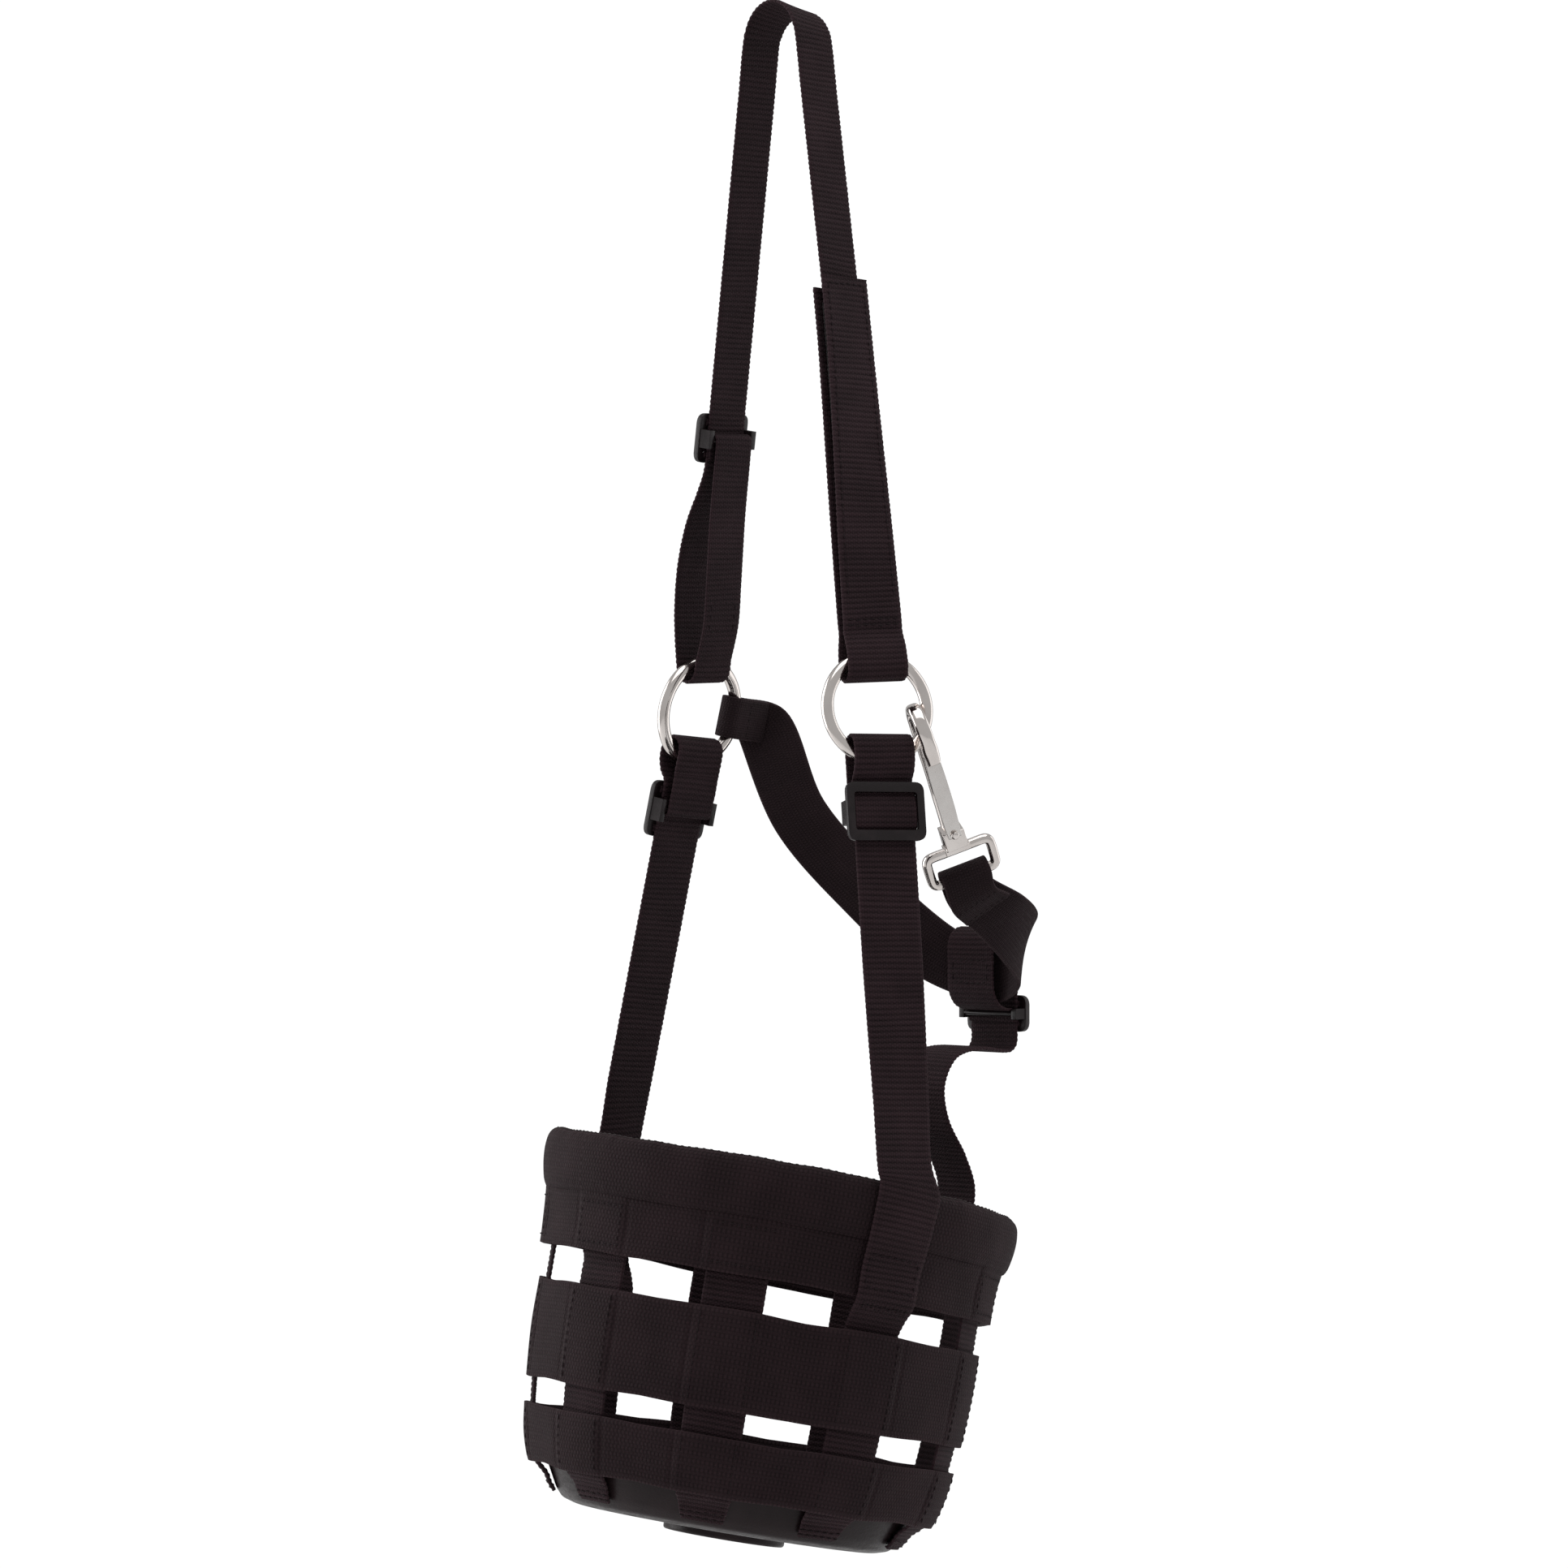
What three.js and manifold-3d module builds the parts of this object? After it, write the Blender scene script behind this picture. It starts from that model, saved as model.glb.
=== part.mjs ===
// Grazing muzzle with its own headstall: a webbing basket on a rubber base, hung by two cheek straps
// from a pair of rings under an adjustable crown strap, with a throat strap and a chin strap.
// Millimetres. +X is the nose side, +Y the near (left) side, +Z up.
// The origin is the inner face of the crown strap where it lies over the poll.
import * as THREE from "three";
import { mergeVertices } from "three/addons/utils/BufferGeometryUtils.js";
import Module from "manifold-3d";

const wasm = await Module();
wasm.setup();

// ---------------------------------------------------------------- driving dimensions
const WIDE = 25; // wide webbing, a nominal inch
const NARROW = 20; // crown webbing
const PLY = 1.5; // thickness of one ply of webbing
const GAP = 0.45; // air between pieces that touch on the real object

const RING_RADIUS = 20.5; // centre of the wire
const RING_WIRE = 5;
const RING_Z = -279.5; // height of both ring centres

const SPREAD_TOP = 12; // half the distance between the two sides at the poll
const SPREAD_SLOPE = 0.182; // each side moves out by this for every millimetre down
const ARCH_RADIUS = 14.2; // crown strap over the poll

const RIM_HEIGHT = -464; // centre of the basket's rim
const BASKET_TILT = 11.5; // degrees, nose side up
const BASKET_DEPTH = 142;
// Nine verticals stand about 40 degrees apart: seven strips and the ends of the two cheek straps.
const STRIP_ANGLES = {
  front: 8,
  front_near: 48,
  rear_near: 128,
  rear: 168,
  rear_far: 208,
  side_far: 248,
  front_far: 328,
};
const CHEEK_ANGLES = { near: 86, far: 282 };

const ROLL = { bottom: 23, out: 4.6, in: -3, skin: 1.2 }; // padded roll at the rim
const TOP_BAND = { top: 23.6, bottom: 44.6 };
const TOP_BAND_OUT = 3.2; // it stands out from the others, nearly flush with the roll
const MID_BAND = { top: 57.6, bottom: 95.8 };
const LOW_BAND = { top: 105.8, bottom: 128.6 };
const HOLE_RADIUS = 18; // grazing hole in the base
const BOSS_RADIUS = 24.2;
const BOSS_DROP = 4;
const BASE_THICK = 4;

const CHEEK_SLIDER_Z = -320; // centre of each cheek slider
const CROWN_SLIDER_Z = -169;
const CHIN_SLIDER_Z = -403.5;

// ---------------------------------------------------------------- materials
const finish = (color, roughness, metalness) => new THREE.MeshStandardMaterial({ color, roughness, metalness });
const webbing = () => finish(0x2a2222, 0.85, 0);
const padding = () => finish(0x241d1d, 0.95, 0);
const rubber = () => finish(0x1f1a1a, 0.4, 0);
const plastic = () => finish(0x161414, 0.45, 0);
const nickel = () => finish(0xc9c6c0, 0.22, 1);

// ---------------------------------------------------------------- geometry helpers
const V = (x, y, z) => new THREE.Vector3(x, y, z);
const P = (a, b) => new THREE.Vector2(a, b);
const radians = THREE.MathUtils.degToRad;

// A solid between sections of equal point counts: each section is a front row of points,
// then the back row in reverse. Turned the right way out by the sign of its volume.
function loft(sections) {
  const count = sections[0].length;
  const row = count / 2;
  const faces = [];
  for (let s = 0; s + 1 < sections.length; s++) {
    for (let i = 0; i < count; i++) {
      const a = s * count + i;
      const b = s * count + ((i + 1) % count);
      faces.push(a, b, b + count, a, b + count, a + count);
    }
  }
  const last = (sections.length - 1) * count;
  for (let i = 0; i + 1 < row; i++) {
    const [a, b, c, d] = [i, i + 1, count - 2 - i, count - 1 - i];
    faces.push(a, c, b, a, d, c, last + a, last + b, last + c, last + a, last + c, last + d);
  }
  const points = sections.flat();
  let volume = 0;
  for (let f = 0; f < faces.length; f += 3) {
    const [a, b, c] = faces.slice(f, f + 3).map((k) => points[k]);
    volume += a.dot(V(0, 0, 0).crossVectors(b, c));
  }
  if (volume < 0) faces.reverse();
  return new THREE.BufferGeometry().setFromPoints(points).setIndex(faces);
}

// The two faces of a strap that follows a path in a plane: pairs of points half a thickness either side.
function plies(path, thickness) {
  return path.map((p, i) => {
    const before = path[Math.max(i - 1, 0)];
    const after = path[Math.min(i + 1, path.length - 1)];
    const along = after.clone().sub(before).normalize();
    const side = P(along.y, -along.x).multiplyScalar(thickness / 2);
    return [p.clone().add(side), p.clone().sub(side)];
  });
}

// Splits long straight stretches so that a strap can twist along them.
function split(path, step) {
  const out = [path[0]];
  for (let i = 1; i < path.length; i++) {
    const pieces = Math.max(1, Math.round(path[i - 1].distanceTo(path[i]) / step));
    for (let k = 1; k <= pieces; k++) out.push(path[i - 1].clone().lerp(path[i], k / pieces));
  }
  return out;
}

// Points of an arc in the plane, both ends included, angles in degrees.
function arc(centre, radius, from, to, steps) {
  const angles = Array.from({ length: steps + 1 }, (_, i) => radians(from + ((to - from) * i) / steps));
  return angles.map((a) => P(centre.x + radius * Math.cos(a), centre.y + radius * Math.sin(a)));
}

// A smooth stretch through a few points.
const smooth = (points, steps) => new THREE.SplineCurve(points).getPoints(steps);

// Sections of a strap along a path in a plane, where place(out, height, across) gives the point in space.
function sections(place, path, width, thickness = PLY, across = [-0.5, 0.5]) {
  return plies(path, thickness).map(([front, back]) => [
    ...across.map((k) => place(front.x, front.y, k * width)),
    ...across.map((k) => place(back.x, back.y, -k * width)),
  ]);
}

// A ring-shaped solid round the vertical axis from a closed profile of (radius, height) points.
function hoop(profile, segments = 48) {
  const geometry = new THREE.LatheGeometry([...profile, profile[0]], segments);
  return turnedOut(geometry.rotateX(Math.PI / 2));
}

// Merges a closed geometry's shared points and makes its faces point outwards.
function turnedOut(geometry) {
  const plain = geometry.index ? geometry.toNonIndexed() : geometry.clone();
  plain.deleteAttribute("normal");
  plain.deleteAttribute("uv");
  const merged = mergeVertices(plain, 1e-4);
  const index = [];
  const old = merged.index.array;
  for (let f = 0; f < old.length; f += 3) {
    const [a, b, c] = [old[f], old[f + 1], old[f + 2]];
    if (a !== b && b !== c && c !== a) index.push(a, b, c);
  }
  const at = (k) => V(0, 0, 0).fromBufferAttribute(merged.attributes.position, k);
  let volume = 0;
  for (let f = 0; f < index.length; f += 3) {
    volume += at(index[f]).dot(V(0, 0, 0).crossVectors(at(index[f + 1]), at(index[f + 2])));
  }
  if (volume < 0) index.reverse();
  return merged.setIndex(index);
}

// Joins overlapping closed geometries into one solid.
function joined(geometries) {
  const solids = geometries.map((geometry) => {
    const merged = turnedOut(geometry);
    return new wasm.Manifold(
      new wasm.Mesh({
        numProp: 3,
        vertProperties: new Float32Array(merged.attributes.position.array),
        triVerts: new Uint32Array(merged.index.array),
      }),
    );
  });
  const mesh = solids.reduce((a, b) => a.add(b)).getMesh();
  return new THREE.BufferGeometry()
    .setAttribute("position", new THREE.BufferAttribute(mesh.vertProperties.slice(), 3))
    .setIndex(new THREE.BufferAttribute(mesh.triVerts.slice(), 1));
}

const box = (width, depth, height, x, y, z) => new THREE.BoxGeometry(width, depth, height).translate(x, y, z);

const muzzle = new THREE.Group();

function add(name, geometry, material, parent = muzzle) {
  const mesh = new THREE.Mesh(geometry, material);
  mesh.name = name;
  parent.add(mesh);
  return mesh;
}

// ---------------------------------------------------------------- hanging lines
// A hanging line gives the middle of a run of straps at each height, and the compass heading of
// its outward face. Headings turn smoothly between stations, so straps on a line twist with it.
class Line {
  constructor(stations) {
    this.stations = stations;
  }

  at(z) {
    const s = this.stations;
    const i = Math.min(Math.max(s.findIndex((station) => station.z <= z) - 1, 0), s.length - 2);
    const above = s[i];
    const below = z < s[s.length - 1].z ? s[s.length - 1] : s[i + 1];
    if (above === below) return above;
    const t = THREE.MathUtils.clamp((above.z - z) / (above.z - below.z), 0, 1);
    const x = THREE.MathUtils.lerp(above.x, below.x, t);
    const heading = THREE.MathUtils.lerp(above.heading, below.heading, THREE.MathUtils.smoothstep(t, 0, 1));
    return { x, heading };
  }

  // The outward direction at a height, square to the line.
  outward(z) {
    const heading = radians(this.at(z).heading);
    return V(Math.cos(heading), Math.sin(heading), 0).projectOnPlane(this.down).normalize();
  }

  // out is the distance outwards from the middle, across the distance along the strap's width.
  place = (out, z, across = 0) => {
    const outward = this.outward(z);
    const wide = V(0, 0, 0).crossVectors(outward, this.down);
    const middle = V(this.at(z).x, this.middle(z), z);
    return middle.addScaledVector(outward, out).addScaledVector(wide, across);
  };
}

class SideLine extends Line {
  constructor(sign, stations, lean = 0) {
    super(stations);
    this.sign = sign;
    this.down = V(lean, sign * SPREAD_SLOPE, -1).normalize();
  }

  middle(z) {
    return this.sign * (SPREAD_TOP - SPREAD_SLOPE * z);
  }
}

class ChinLine extends Line {
  down = V(0, 0, -1);

  middle(z) {
    return THREE.MathUtils.mapLinear(THREE.MathUtils.clamp(z, -470, -420), -470, -420, 0, -5);
  }
}

const ARCH_END = 0.75 - 0.821 * ARCH_RADIUS; // height where the arch meets the straight sides

const near = new SideLine(1, [
  { z: ARCH_END, x: -4.2, heading: 100.5 },
  { z: -120, x: -4.5, heading: 100.5 },
  { z: RING_Z, x: -1, heading: 75.5 },
]);

const far = new SideLine(-1, [
  { z: ARCH_END, x: 1.2, heading: -79.5 },
  { z: RING_Z, x: -1, heading: -78.5 },
]);

// Below the rings the cheek straps lean towards the nose.
const NEAR_LEAN = 0.055; // millimetres towards the nose for each one down
const FAR_LEAN = 0.107;
const leaning = (z, lean) => -1 + lean * (RING_Z - z);

const nearCheek = new SideLine(
  1,
  [
    { z: RING_Z, x: -1, heading: 75.5 },
    { z: -365, x: leaning(-365, NEAR_LEAN), heading: 75.5 },
    { z: -452, x: leaning(-452, NEAR_LEAN), heading: 88 },
    { z: -470, x: leaning(-470, NEAR_LEAN), heading: 88 },
  ],
  NEAR_LEAN,
);

const farCheek = new SideLine(
  -1,
  [
    { z: RING_Z, x: -1, heading: -78.5 },
    { z: -365, x: leaning(-365, FAR_LEAN), heading: -78.5 },
    { z: -452, x: leaning(-452, FAR_LEAN), heading: -78 },
    { z: -470, x: leaning(-470, FAR_LEAN), heading: -78 },
  ],
  FAR_LEAN,
);

// The chin line's "out" runs rearwards from its own zero.
const chin = new ChinLine([
  { z: -360, x: -86, heading: 192 },
  { z: -412, x: -86, heading: 192 },
  { z: -470, x: -86, heading: 180 },
  { z: -490, x: -86, heading: 180 },
]);

// ---------------------------------------------------------------- rings
// Each ring hangs in the plane of its straps: its normal is the line's heading made square to the line.
function ringFrame(line) {
  const normal = line.outward(RING_Z);
  const up = line.down.clone().negate();
  const rear = V(0, 0, 0).crossVectors(normal, up);
  if (rear.x > 0) rear.negate();
  return { centre: line.place(0, RING_Z), normal, up, rear };
}

// A point of the wire's centre line: 0 degrees is the rearmost point, -90 the lowest.
function wirePoint(ring, degrees, extra = 0) {
  const [c, s] = [Math.cos(radians(degrees)), Math.sin(radians(degrees))];
  return ring.centre
    .clone()
    .addScaledVector(ring.rear, (RING_RADIUS + extra) * c)
    .addScaledVector(ring.up, (RING_RADIUS + extra) * s);
}

const nearRing = ringFrame(near);
const farRing = ringFrame(far);

function addRing(name, ring) {
  const geometry = hoop(arc(P(RING_RADIUS, 0), RING_WIRE / 2, 0, 315, 7), 40);
  const mesh = add(name, geometry, nickel());
  mesh.quaternion.setFromUnitVectors(V(0, 0, 1), ring.normal);
  mesh.position.copy(ring.centre);
}

addRing("near_ring", nearRing);
addRing("far_ring", farRing);

// ---------------------------------------------------------------- loops round the rings
const LOOP = 5.3; // half the distance between the two legs of a loop that a ring turns in
const wireTop = RING_Z + RING_RADIUS * nearRing.up.z;
const wireBottom = RING_Z - RING_RADIUS * nearRing.up.z;
const wireDrop = (width) => RING_RADIUS - Math.sqrt(RING_RADIUS ** 2 - (width / 2) ** 2);

// ---------------------------------------------------------------- sliders
const BAR_OUT = -3.3; // centre bar, behind the strap that passes the slider
const BAR_RADIUS = 1.1;
const WRAP = 0.9; // the sewn end round the centre bar
const WRAP_RADIUS = BAR_RADIUS + 0.28 + WRAP / 2;
const FACE = 2.4; // thickness of the slider's domed face
const RAIL = 3;

// A three-bar slider: x across the strap, y outwards, z along the strap.
function sliderGeometry(width, height) {
  const inner = width / 2 + 0.5;
  const outer = inner + RAIL;
  const half = height / 2;
  const corner = 3;
  const shape = new THREE.Shape();
  shape.moveTo(-outer + corner, -half);
  shape.lineTo(outer - corner, -half);
  shape.absarc(outer - corner, -half + corner, corner, -Math.PI / 2, 0);
  shape.absarc(outer - corner, half - corner, corner, 0, Math.PI / 2);
  shape.absarc(-outer + corner, half - corner, corner, Math.PI / 2, Math.PI);
  shape.absarc(-outer + corner, -half + corner, corner, Math.PI, 1.5 * Math.PI);
  const window = new THREE.Path();
  const sill = half - 4;
  window.moveTo(-inner, -sill);
  window.lineTo(-inner, sill);
  window.lineTo(inner, sill);
  window.lineTo(inner, -sill);
  shape.holes.push(window);
  const face = new THREE.ExtrudeGeometry(shape, { depth: FACE, bevelEnabled: false, curveSegments: 3 });
  face.rotateX(Math.PI / 2).translate(0, PLY / 2 + GAP + FACE, 0);
  const railDepth = PLY / 2 + GAP + 0.5 - (BAR_OUT - BAR_RADIUS);
  const railOut = PLY / 2 + GAP + 0.5 - railDepth / 2;
  const rails = [-1, 1].map((side) => box(RAIL, railDepth, sill * 1.2, side * (inner + RAIL / 2), railOut, 0));
  const bar = new THREE.CylinderGeometry(BAR_RADIUS, BAR_RADIUS, 2 * inner + 2, 10);
  bar.rotateZ(Math.PI / 2).translate(0, BAR_OUT, 0);
  return joined([face, ...rails, bar]);
}

// Sets a slider on a line: its axes are the strap's width, the outward face and the line itself.
function addSlider(name, line, z, width, height, out = 0) {
  const mesh = add(name, sliderGeometry(width, height), plastic());
  const up = line.down.clone().negate();
  const outward = line.outward(z);
  const across = V(0, 0, 0).crossVectors(outward, up);
  mesh.quaternion.setFromRotationMatrix(new THREE.Matrix4().makeBasis(across, outward, up));
  mesh.position.copy(line.place(out, z));
}

// The sewn end of a return leg: comes along the back of the centre bar, turns over it and ends in front.
// way is +1 when the leg comes up from below the bar, -1 when it comes down from above.
function wrapPath(z, way, out = 0) {
  const centre = P(out + BAR_OUT, z);
  const turn = arc(centre, WRAP_RADIUS, 180, way > 0 ? 0 : 360, 6);
  const end = P(centre.x + WRAP_RADIUS, z - way * 5);
  return [...turn, end];
}

// ---------------------------------------------------------------- crown strap and far loop
const LINE_ANGLE = Math.atan(SPREAD_SLOPE);

// The arch over the poll, square to the crown's heading, with its rear edge lower than its front edge.
function archSections() {
  const nearEnd = near.place(0, ARCH_END);
  const farEnd = far.place(0, ARCH_END);
  const middle = nearEnd.clone().add(farEnd).multiplyScalar(0.5);
  const outward = nearEnd.clone().sub(farEnd).normalize();
  const across = V(-outward.y, outward.x, 0);
  const droop = Math.tan(radians(10));
  const centreZ = PLY / 2 - ARCH_RADIUS;
  const steps = 12;
  const out = [];
  for (let i = 1; i < steps; i++) {
    const angle = THREE.MathUtils.lerp(LINE_ANGLE, Math.PI - LINE_ANGLE, i / steps);
    const radial = outward.clone().multiplyScalar(Math.cos(angle)).add(V(0, 0, Math.sin(angle)));
    const wide = across.clone().add(V(0, 0, -droop * Math.sin(angle))).normalize();
    const centre = V(middle.x, middle.y, centreZ).addScaledVector(radial, ARCH_RADIUS);
    const point = (side, ply) =>
      centre
        .clone()
        .addScaledVector(wide, side * (NARROW / 2))
        .addScaledVector(radial, ply * (PLY / 2));
    out.push([point(-1, 1), point(1, 1), point(1, -1), point(-1, -1)]);
  }
  return out;
}

const CROWN_END_Z = -238; // the crown strap's lower end inside the billet
const farLoopZ = wireTop - wireDrop(NARROW);

function crownSections() {
  const up = split([P(0, CROWN_END_Z), P(0, ARCH_END)], 20);
  const nearLeg = sections(near.place, up, NARROW);
  const bulge = smooth(
    [P(0, CROWN_SLIDER_Z - 12), P(2.5, -190), P(8.5, -204), P(10.5, -224), P(9, -243), P(LOOP, farLoopZ)],
    16,
  );
  const down = [
    ...split([P(0, ARCH_END), P(0, CROWN_SLIDER_Z - 12)], 25).slice(0, -1),
    ...bulge,
    ...arc(P(0, farLoopZ), LOOP, 0, -180, 8).slice(1),
    P(-LOOP, farLoopZ + 5),
  ];
  // The far leg runs down, so its corners are counted from the other edge.
  const farLeg = sections(far.place, down, NARROW).map(([a, b, c, d]) => [c, d, a, b]);
  return [...nearLeg, ...archSections(), ...farLeg];
}

add("crown_strap", loft(crownSections()), webbing());

function crownReturnPath() {
  const back = BAR_OUT - WRAP_RADIUS;
  const leg = [P(-LOOP - 0.2, farLoopZ + 5.6), P(-7.4, -244), P(-6.8, -226), P(back, -200), P(back, CROWN_SLIDER_Z)];
  return [...smooth(leg, 12).slice(0, -1), ...wrapPath(CROWN_SLIDER_Z, 1)];
}

add("crown_strap_return", loft(sections(far.place, crownReturnPath(), NARROW, WRAP)), webbing());
addSlider("crown_slider", far, CROWN_SLIDER_Z, NARROW, 20);

// ---------------------------------------------------------------- breakaway billet
const PAD = 0.5; // thickness of each hook-and-loop pad
const PAD_OUT = PLY / 2 + 0.3 + PAD / 2;
const PANEL_OUT = PAD_OUT + PAD / 2 + 0.3 + PLY / 2;
const BILLET_TOP = { front: -110, back: -114 };
const BILLET_CREASE = -250;
const billetLoopZ = wireTop - wireDrop(WIDE);

function billetPath() {
  return [
    ...split([P(PANEL_OUT, BILLET_TOP.front), P(PANEL_OUT, BILLET_CREASE)], 20),
    P(LOOP, BILLET_CREASE - 7),
    ...arc(P(0, billetLoopZ), LOOP, 0, -180, 8),
    P(-LOOP, BILLET_CREASE - 7),
    ...split([P(-PANEL_OUT, BILLET_CREASE), P(-PANEL_OUT, BILLET_TOP.back)], 20),
  ];
}

add("breakaway_billet", loft(sections(near.place, billetPath(), WIDE)), webbing());

for (const [name, side] of [
  ["hook_pad_front", 1],
  ["hook_pad_back", -1],
]) {
  const path = split([P(side * PAD_OUT, -120), P(side * PAD_OUT, -234)], 20);
  add(name, loft(sections(near.place, path, NARROW - 1, PAD)), padding());
}

// ---------------------------------------------------------------- basket frame
const basket = new THREE.Group();
basket.position.set(0, 0, RIM_HEIGHT);
basket.rotation.y = radians(-BASKET_TILT);
muzzle.add(basket);
basket.updateMatrixWorld(true);

// Middle of the bands' thickness: radius at each depth below the rim.
const wallCurve = new THREE.SplineCurve([
  P(90.5, -12),
  P(90.5, 8),
  P(88, 32),
  P(87.8, 55),
  P(87.8, 76),
  P(86.2, 101),
  P(83.2, 119.5),
  P(79.6, 129.5),
  P(72, 137.5),
]).getPoints(160);

function wall(depth) {
  const i = Math.max(1, wallCurve.findIndex((p) => p.y >= depth));
  const [a, b] = [wallCurve[i - 1], wallCurve[i]];
  return THREE.MathUtils.mapLinear(depth, a.y, b.y, a.x, b.x);
}

// Points of a strap that lies round the basket at one angle; across is measured round the wall.
const basketPlace = (angle) => (radius, height, across) => {
  const turn = radians(angle) + across / 88;
  return V(radius * Math.cos(turn), radius * Math.sin(turn), height);
};

// The same in the whole object's frame, for the straps that come down from the headstall.
const hungPlace = (angle) => {
  const local = basketPlace(angle);
  return (radius, height, across) => basket.localToWorld(local(radius, height, across));
};

// ---------------------------------------------------------------- bands and rim
function bandProfile(band, outer, inner) {
  const depths = [0, 1, 2, 3].map((k) => THREE.MathUtils.lerp(band.top, band.bottom, k / 3));
  return [
    ...depths.map((d) => P(wall(d) + outer, -d)),
    ...depths.reverse().map((d) => P(wall(d) + inner, -d)),
  ];
}

add("top_band", hoop(bandProfile(TOP_BAND, TOP_BAND_OUT, -0.9)), webbing(), basket);
add("middle_band", hoop(bandProfile(MID_BAND, 0.9, -0.9)), webbing(), basket);
add("lower_band", hoop(bandProfile(LOW_BAND, 0.9, -0.9)), webbing(), basket);

// The rim's cover is a channel, open below, folded over a foam core.
function rimProfiles() {
  const { bottom, out, skin } = ROLL;
  const rimIn = ROLL.in;
  const outside = [P(-0.5, 0), P(out - 1.5, -1.5), P(out, -7), P(out, -17), P(out - 1.2, -bottom)];
  const inside = [P(rimIn, -bottom), P(rimIn, -4), P(rimIn + 1, -1)];
  const hollowIn = [P(rimIn + skin, -bottom), P(rimIn + skin, -4), P(0, -skin - 0.6)];
  const hollowOut = [P(out - 1.5 - skin, -skin - 2), P(out - skin, -8), P(out - skin, -17), P(out - 1.2 - skin, -bottom)];
  const at = (p) => P(wall(-p.y) + p.x, p.y);
  const cover = [...outside, ...hollowOut.reverse(), ...hollowIn.reverse(), ...inside].map(at);
  const air = 0.35;
  const core = [
    P(rimIn + skin + air, -bottom + 1.5),
    P(rimIn + skin + air, -4.5),
    P(0.2, -skin - 1.4),
    P(out - 2 - skin - air, -skin - 3),
    P(out - skin - air, -8.5),
    P(out - skin - air, -17),
    P(out - 1.2 - skin - air, -bottom + 1.5),
  ].map(at);
  return { cover, core };
}

const rim = rimProfiles();
add("rim_cover", hoop(rim.cover), webbing(), basket);
add("rim_foam", hoop(rim.core), padding(), basket);

// ---------------------------------------------------------------- base
// A rubber dish with a flared lip, a grazing hole and a thick collar under the hole.
function baseProfile() {
  const floor = -BASKET_DEPTH;
  const lip = floor + 15.5;
  return [
    P(HOLE_RADIUS, floor + BASE_THICK),
    P(HOLE_RADIUS, floor - BOSS_DROP),
    P(BOSS_RADIUS, floor - BOSS_DROP),
    P(BOSS_RADIUS, floor),
    P(60, floor),
    P(65.5, floor + 1.6),
    P(68.5, floor + 5),
    P(74.2, lip),
    P(71.5, lip),
    P(65.5, floor + 6.5),
    P(61, floor + BASE_THICK),
  ];
}

add("base_plate", hoop(baseProfile(), 56), rubber(), basket);

// ---------------------------------------------------------------- vertical strips
const STRIP = -0.9 - GAP - PLY / 2; // middle of the strips, inside the bands
const THREE_ACROSS = [-0.5, 0, 0.5];

// Down the inside of the bands, then over the outside of the base's flared lip.
function stripPath(from) {
  const depths = [];
  for (let d = from; d < 123; d += 12) depths.push(d);
  depths.push(123);
  const inside = depths.map((d) => P(wall(d) + STRIP, -d));
  return [...inside, P(wall(128.5) + STRIP - 0.5, -128.5), P(73.2, -133), P(70.2, -137)];
}

for (const [name, angle] of Object.entries(STRIP_ANGLES)) {
  const path = stripPath(26);
  const geometry = loft(sections(basketPlace(angle), path, WIDE, PLY, THREE_ACROSS));
  add(`${name}_strip`, geometry, webbing(), basket);
}

// ---------------------------------------------------------------- cheek straps
// Each comes round the ring, down through its slider, over the rim and the top band,
// in through the first gap and down the inside of the lower bands.
function cheekSections(line, angle) {
  const loopZ = wireBottom + wireDrop(WIDE);
  const sliderTop = CHEEK_SLIDER_Z + 11.5;
  const upper = [
    P(-LOOP, loopZ - 9),
    ...arc(P(0, loopZ), LOOP, 180, 0, 8),
    P(LOOP - 0.1, wireBottom - 0.6),
    P(2.9, sliderTop + 3.6),
    P(0.6, sliderTop + 1.2),
    P(0, sliderTop + 0.2),
    ...split([P(0, CHEEK_SLIDER_Z - 12), P(0, -456)], 22),
  ];
  const overRim = ROLL.out + GAP + PLY / 2 + 0.15;
  const overBand = TOP_BAND_OUT + GAP + PLY / 2;
  const lower = [
    P(wall(1) + overRim, -1),
    P(wall(12) + overRim, -12),
    P(wall(22) + overRim, -22),
    P(wall(33) + overBand + 0.3, -33),
    P(wall(45) + overBand, -45),
    P(wall(51) + 0.6, -51),
    P(wall(57) + STRIP, -56.8),
    ...stripPath(63),
  ];
  return [
    ...sections(line.place, upper, WIDE, PLY, THREE_ACROSS),
    ...sections(hungPlace(angle), lower, WIDE, PLY, THREE_ACROSS),
  ];
}

add("near_cheek_strap", loft(cheekSections(nearCheek, CHEEK_ANGLES.near)), webbing());
add("far_cheek_strap", loft(cheekSections(farCheek, CHEEK_ANGLES.far)), webbing());

for (const [side, line] of [
  ["near", nearCheek],
  ["far", farCheek],
]) {
  const back = BAR_OUT - WRAP_RADIUS;
  const top = wireBottom + wireDrop(WIDE) - 9.6;
  const path = [P(-LOOP, top), P(back, CHEEK_SLIDER_Z + 6), ...wrapPath(CHEEK_SLIDER_Z, -1)];
  add(`${side}_cheek_return`, loft(sections(line.place, path, WIDE, WRAP)), webbing());
  addSlider(`${side}_cheek_slider`, line, CHEEK_SLIDER_Z, WIDE, 23);
}

// ---------------------------------------------------------------- chin strap
// Sewn inside the rim over the rear strip, it rises and curls rearwards, passes the chin slider and
// goes over the throat strap; its end comes back down to the slider's centre bar.
const CHIN_BACK = 27; // back leg of the chin loop, rearwards from the chin line
const CHIN_FRONT = 12.2;
const CHIN_TOP = -376;

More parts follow.
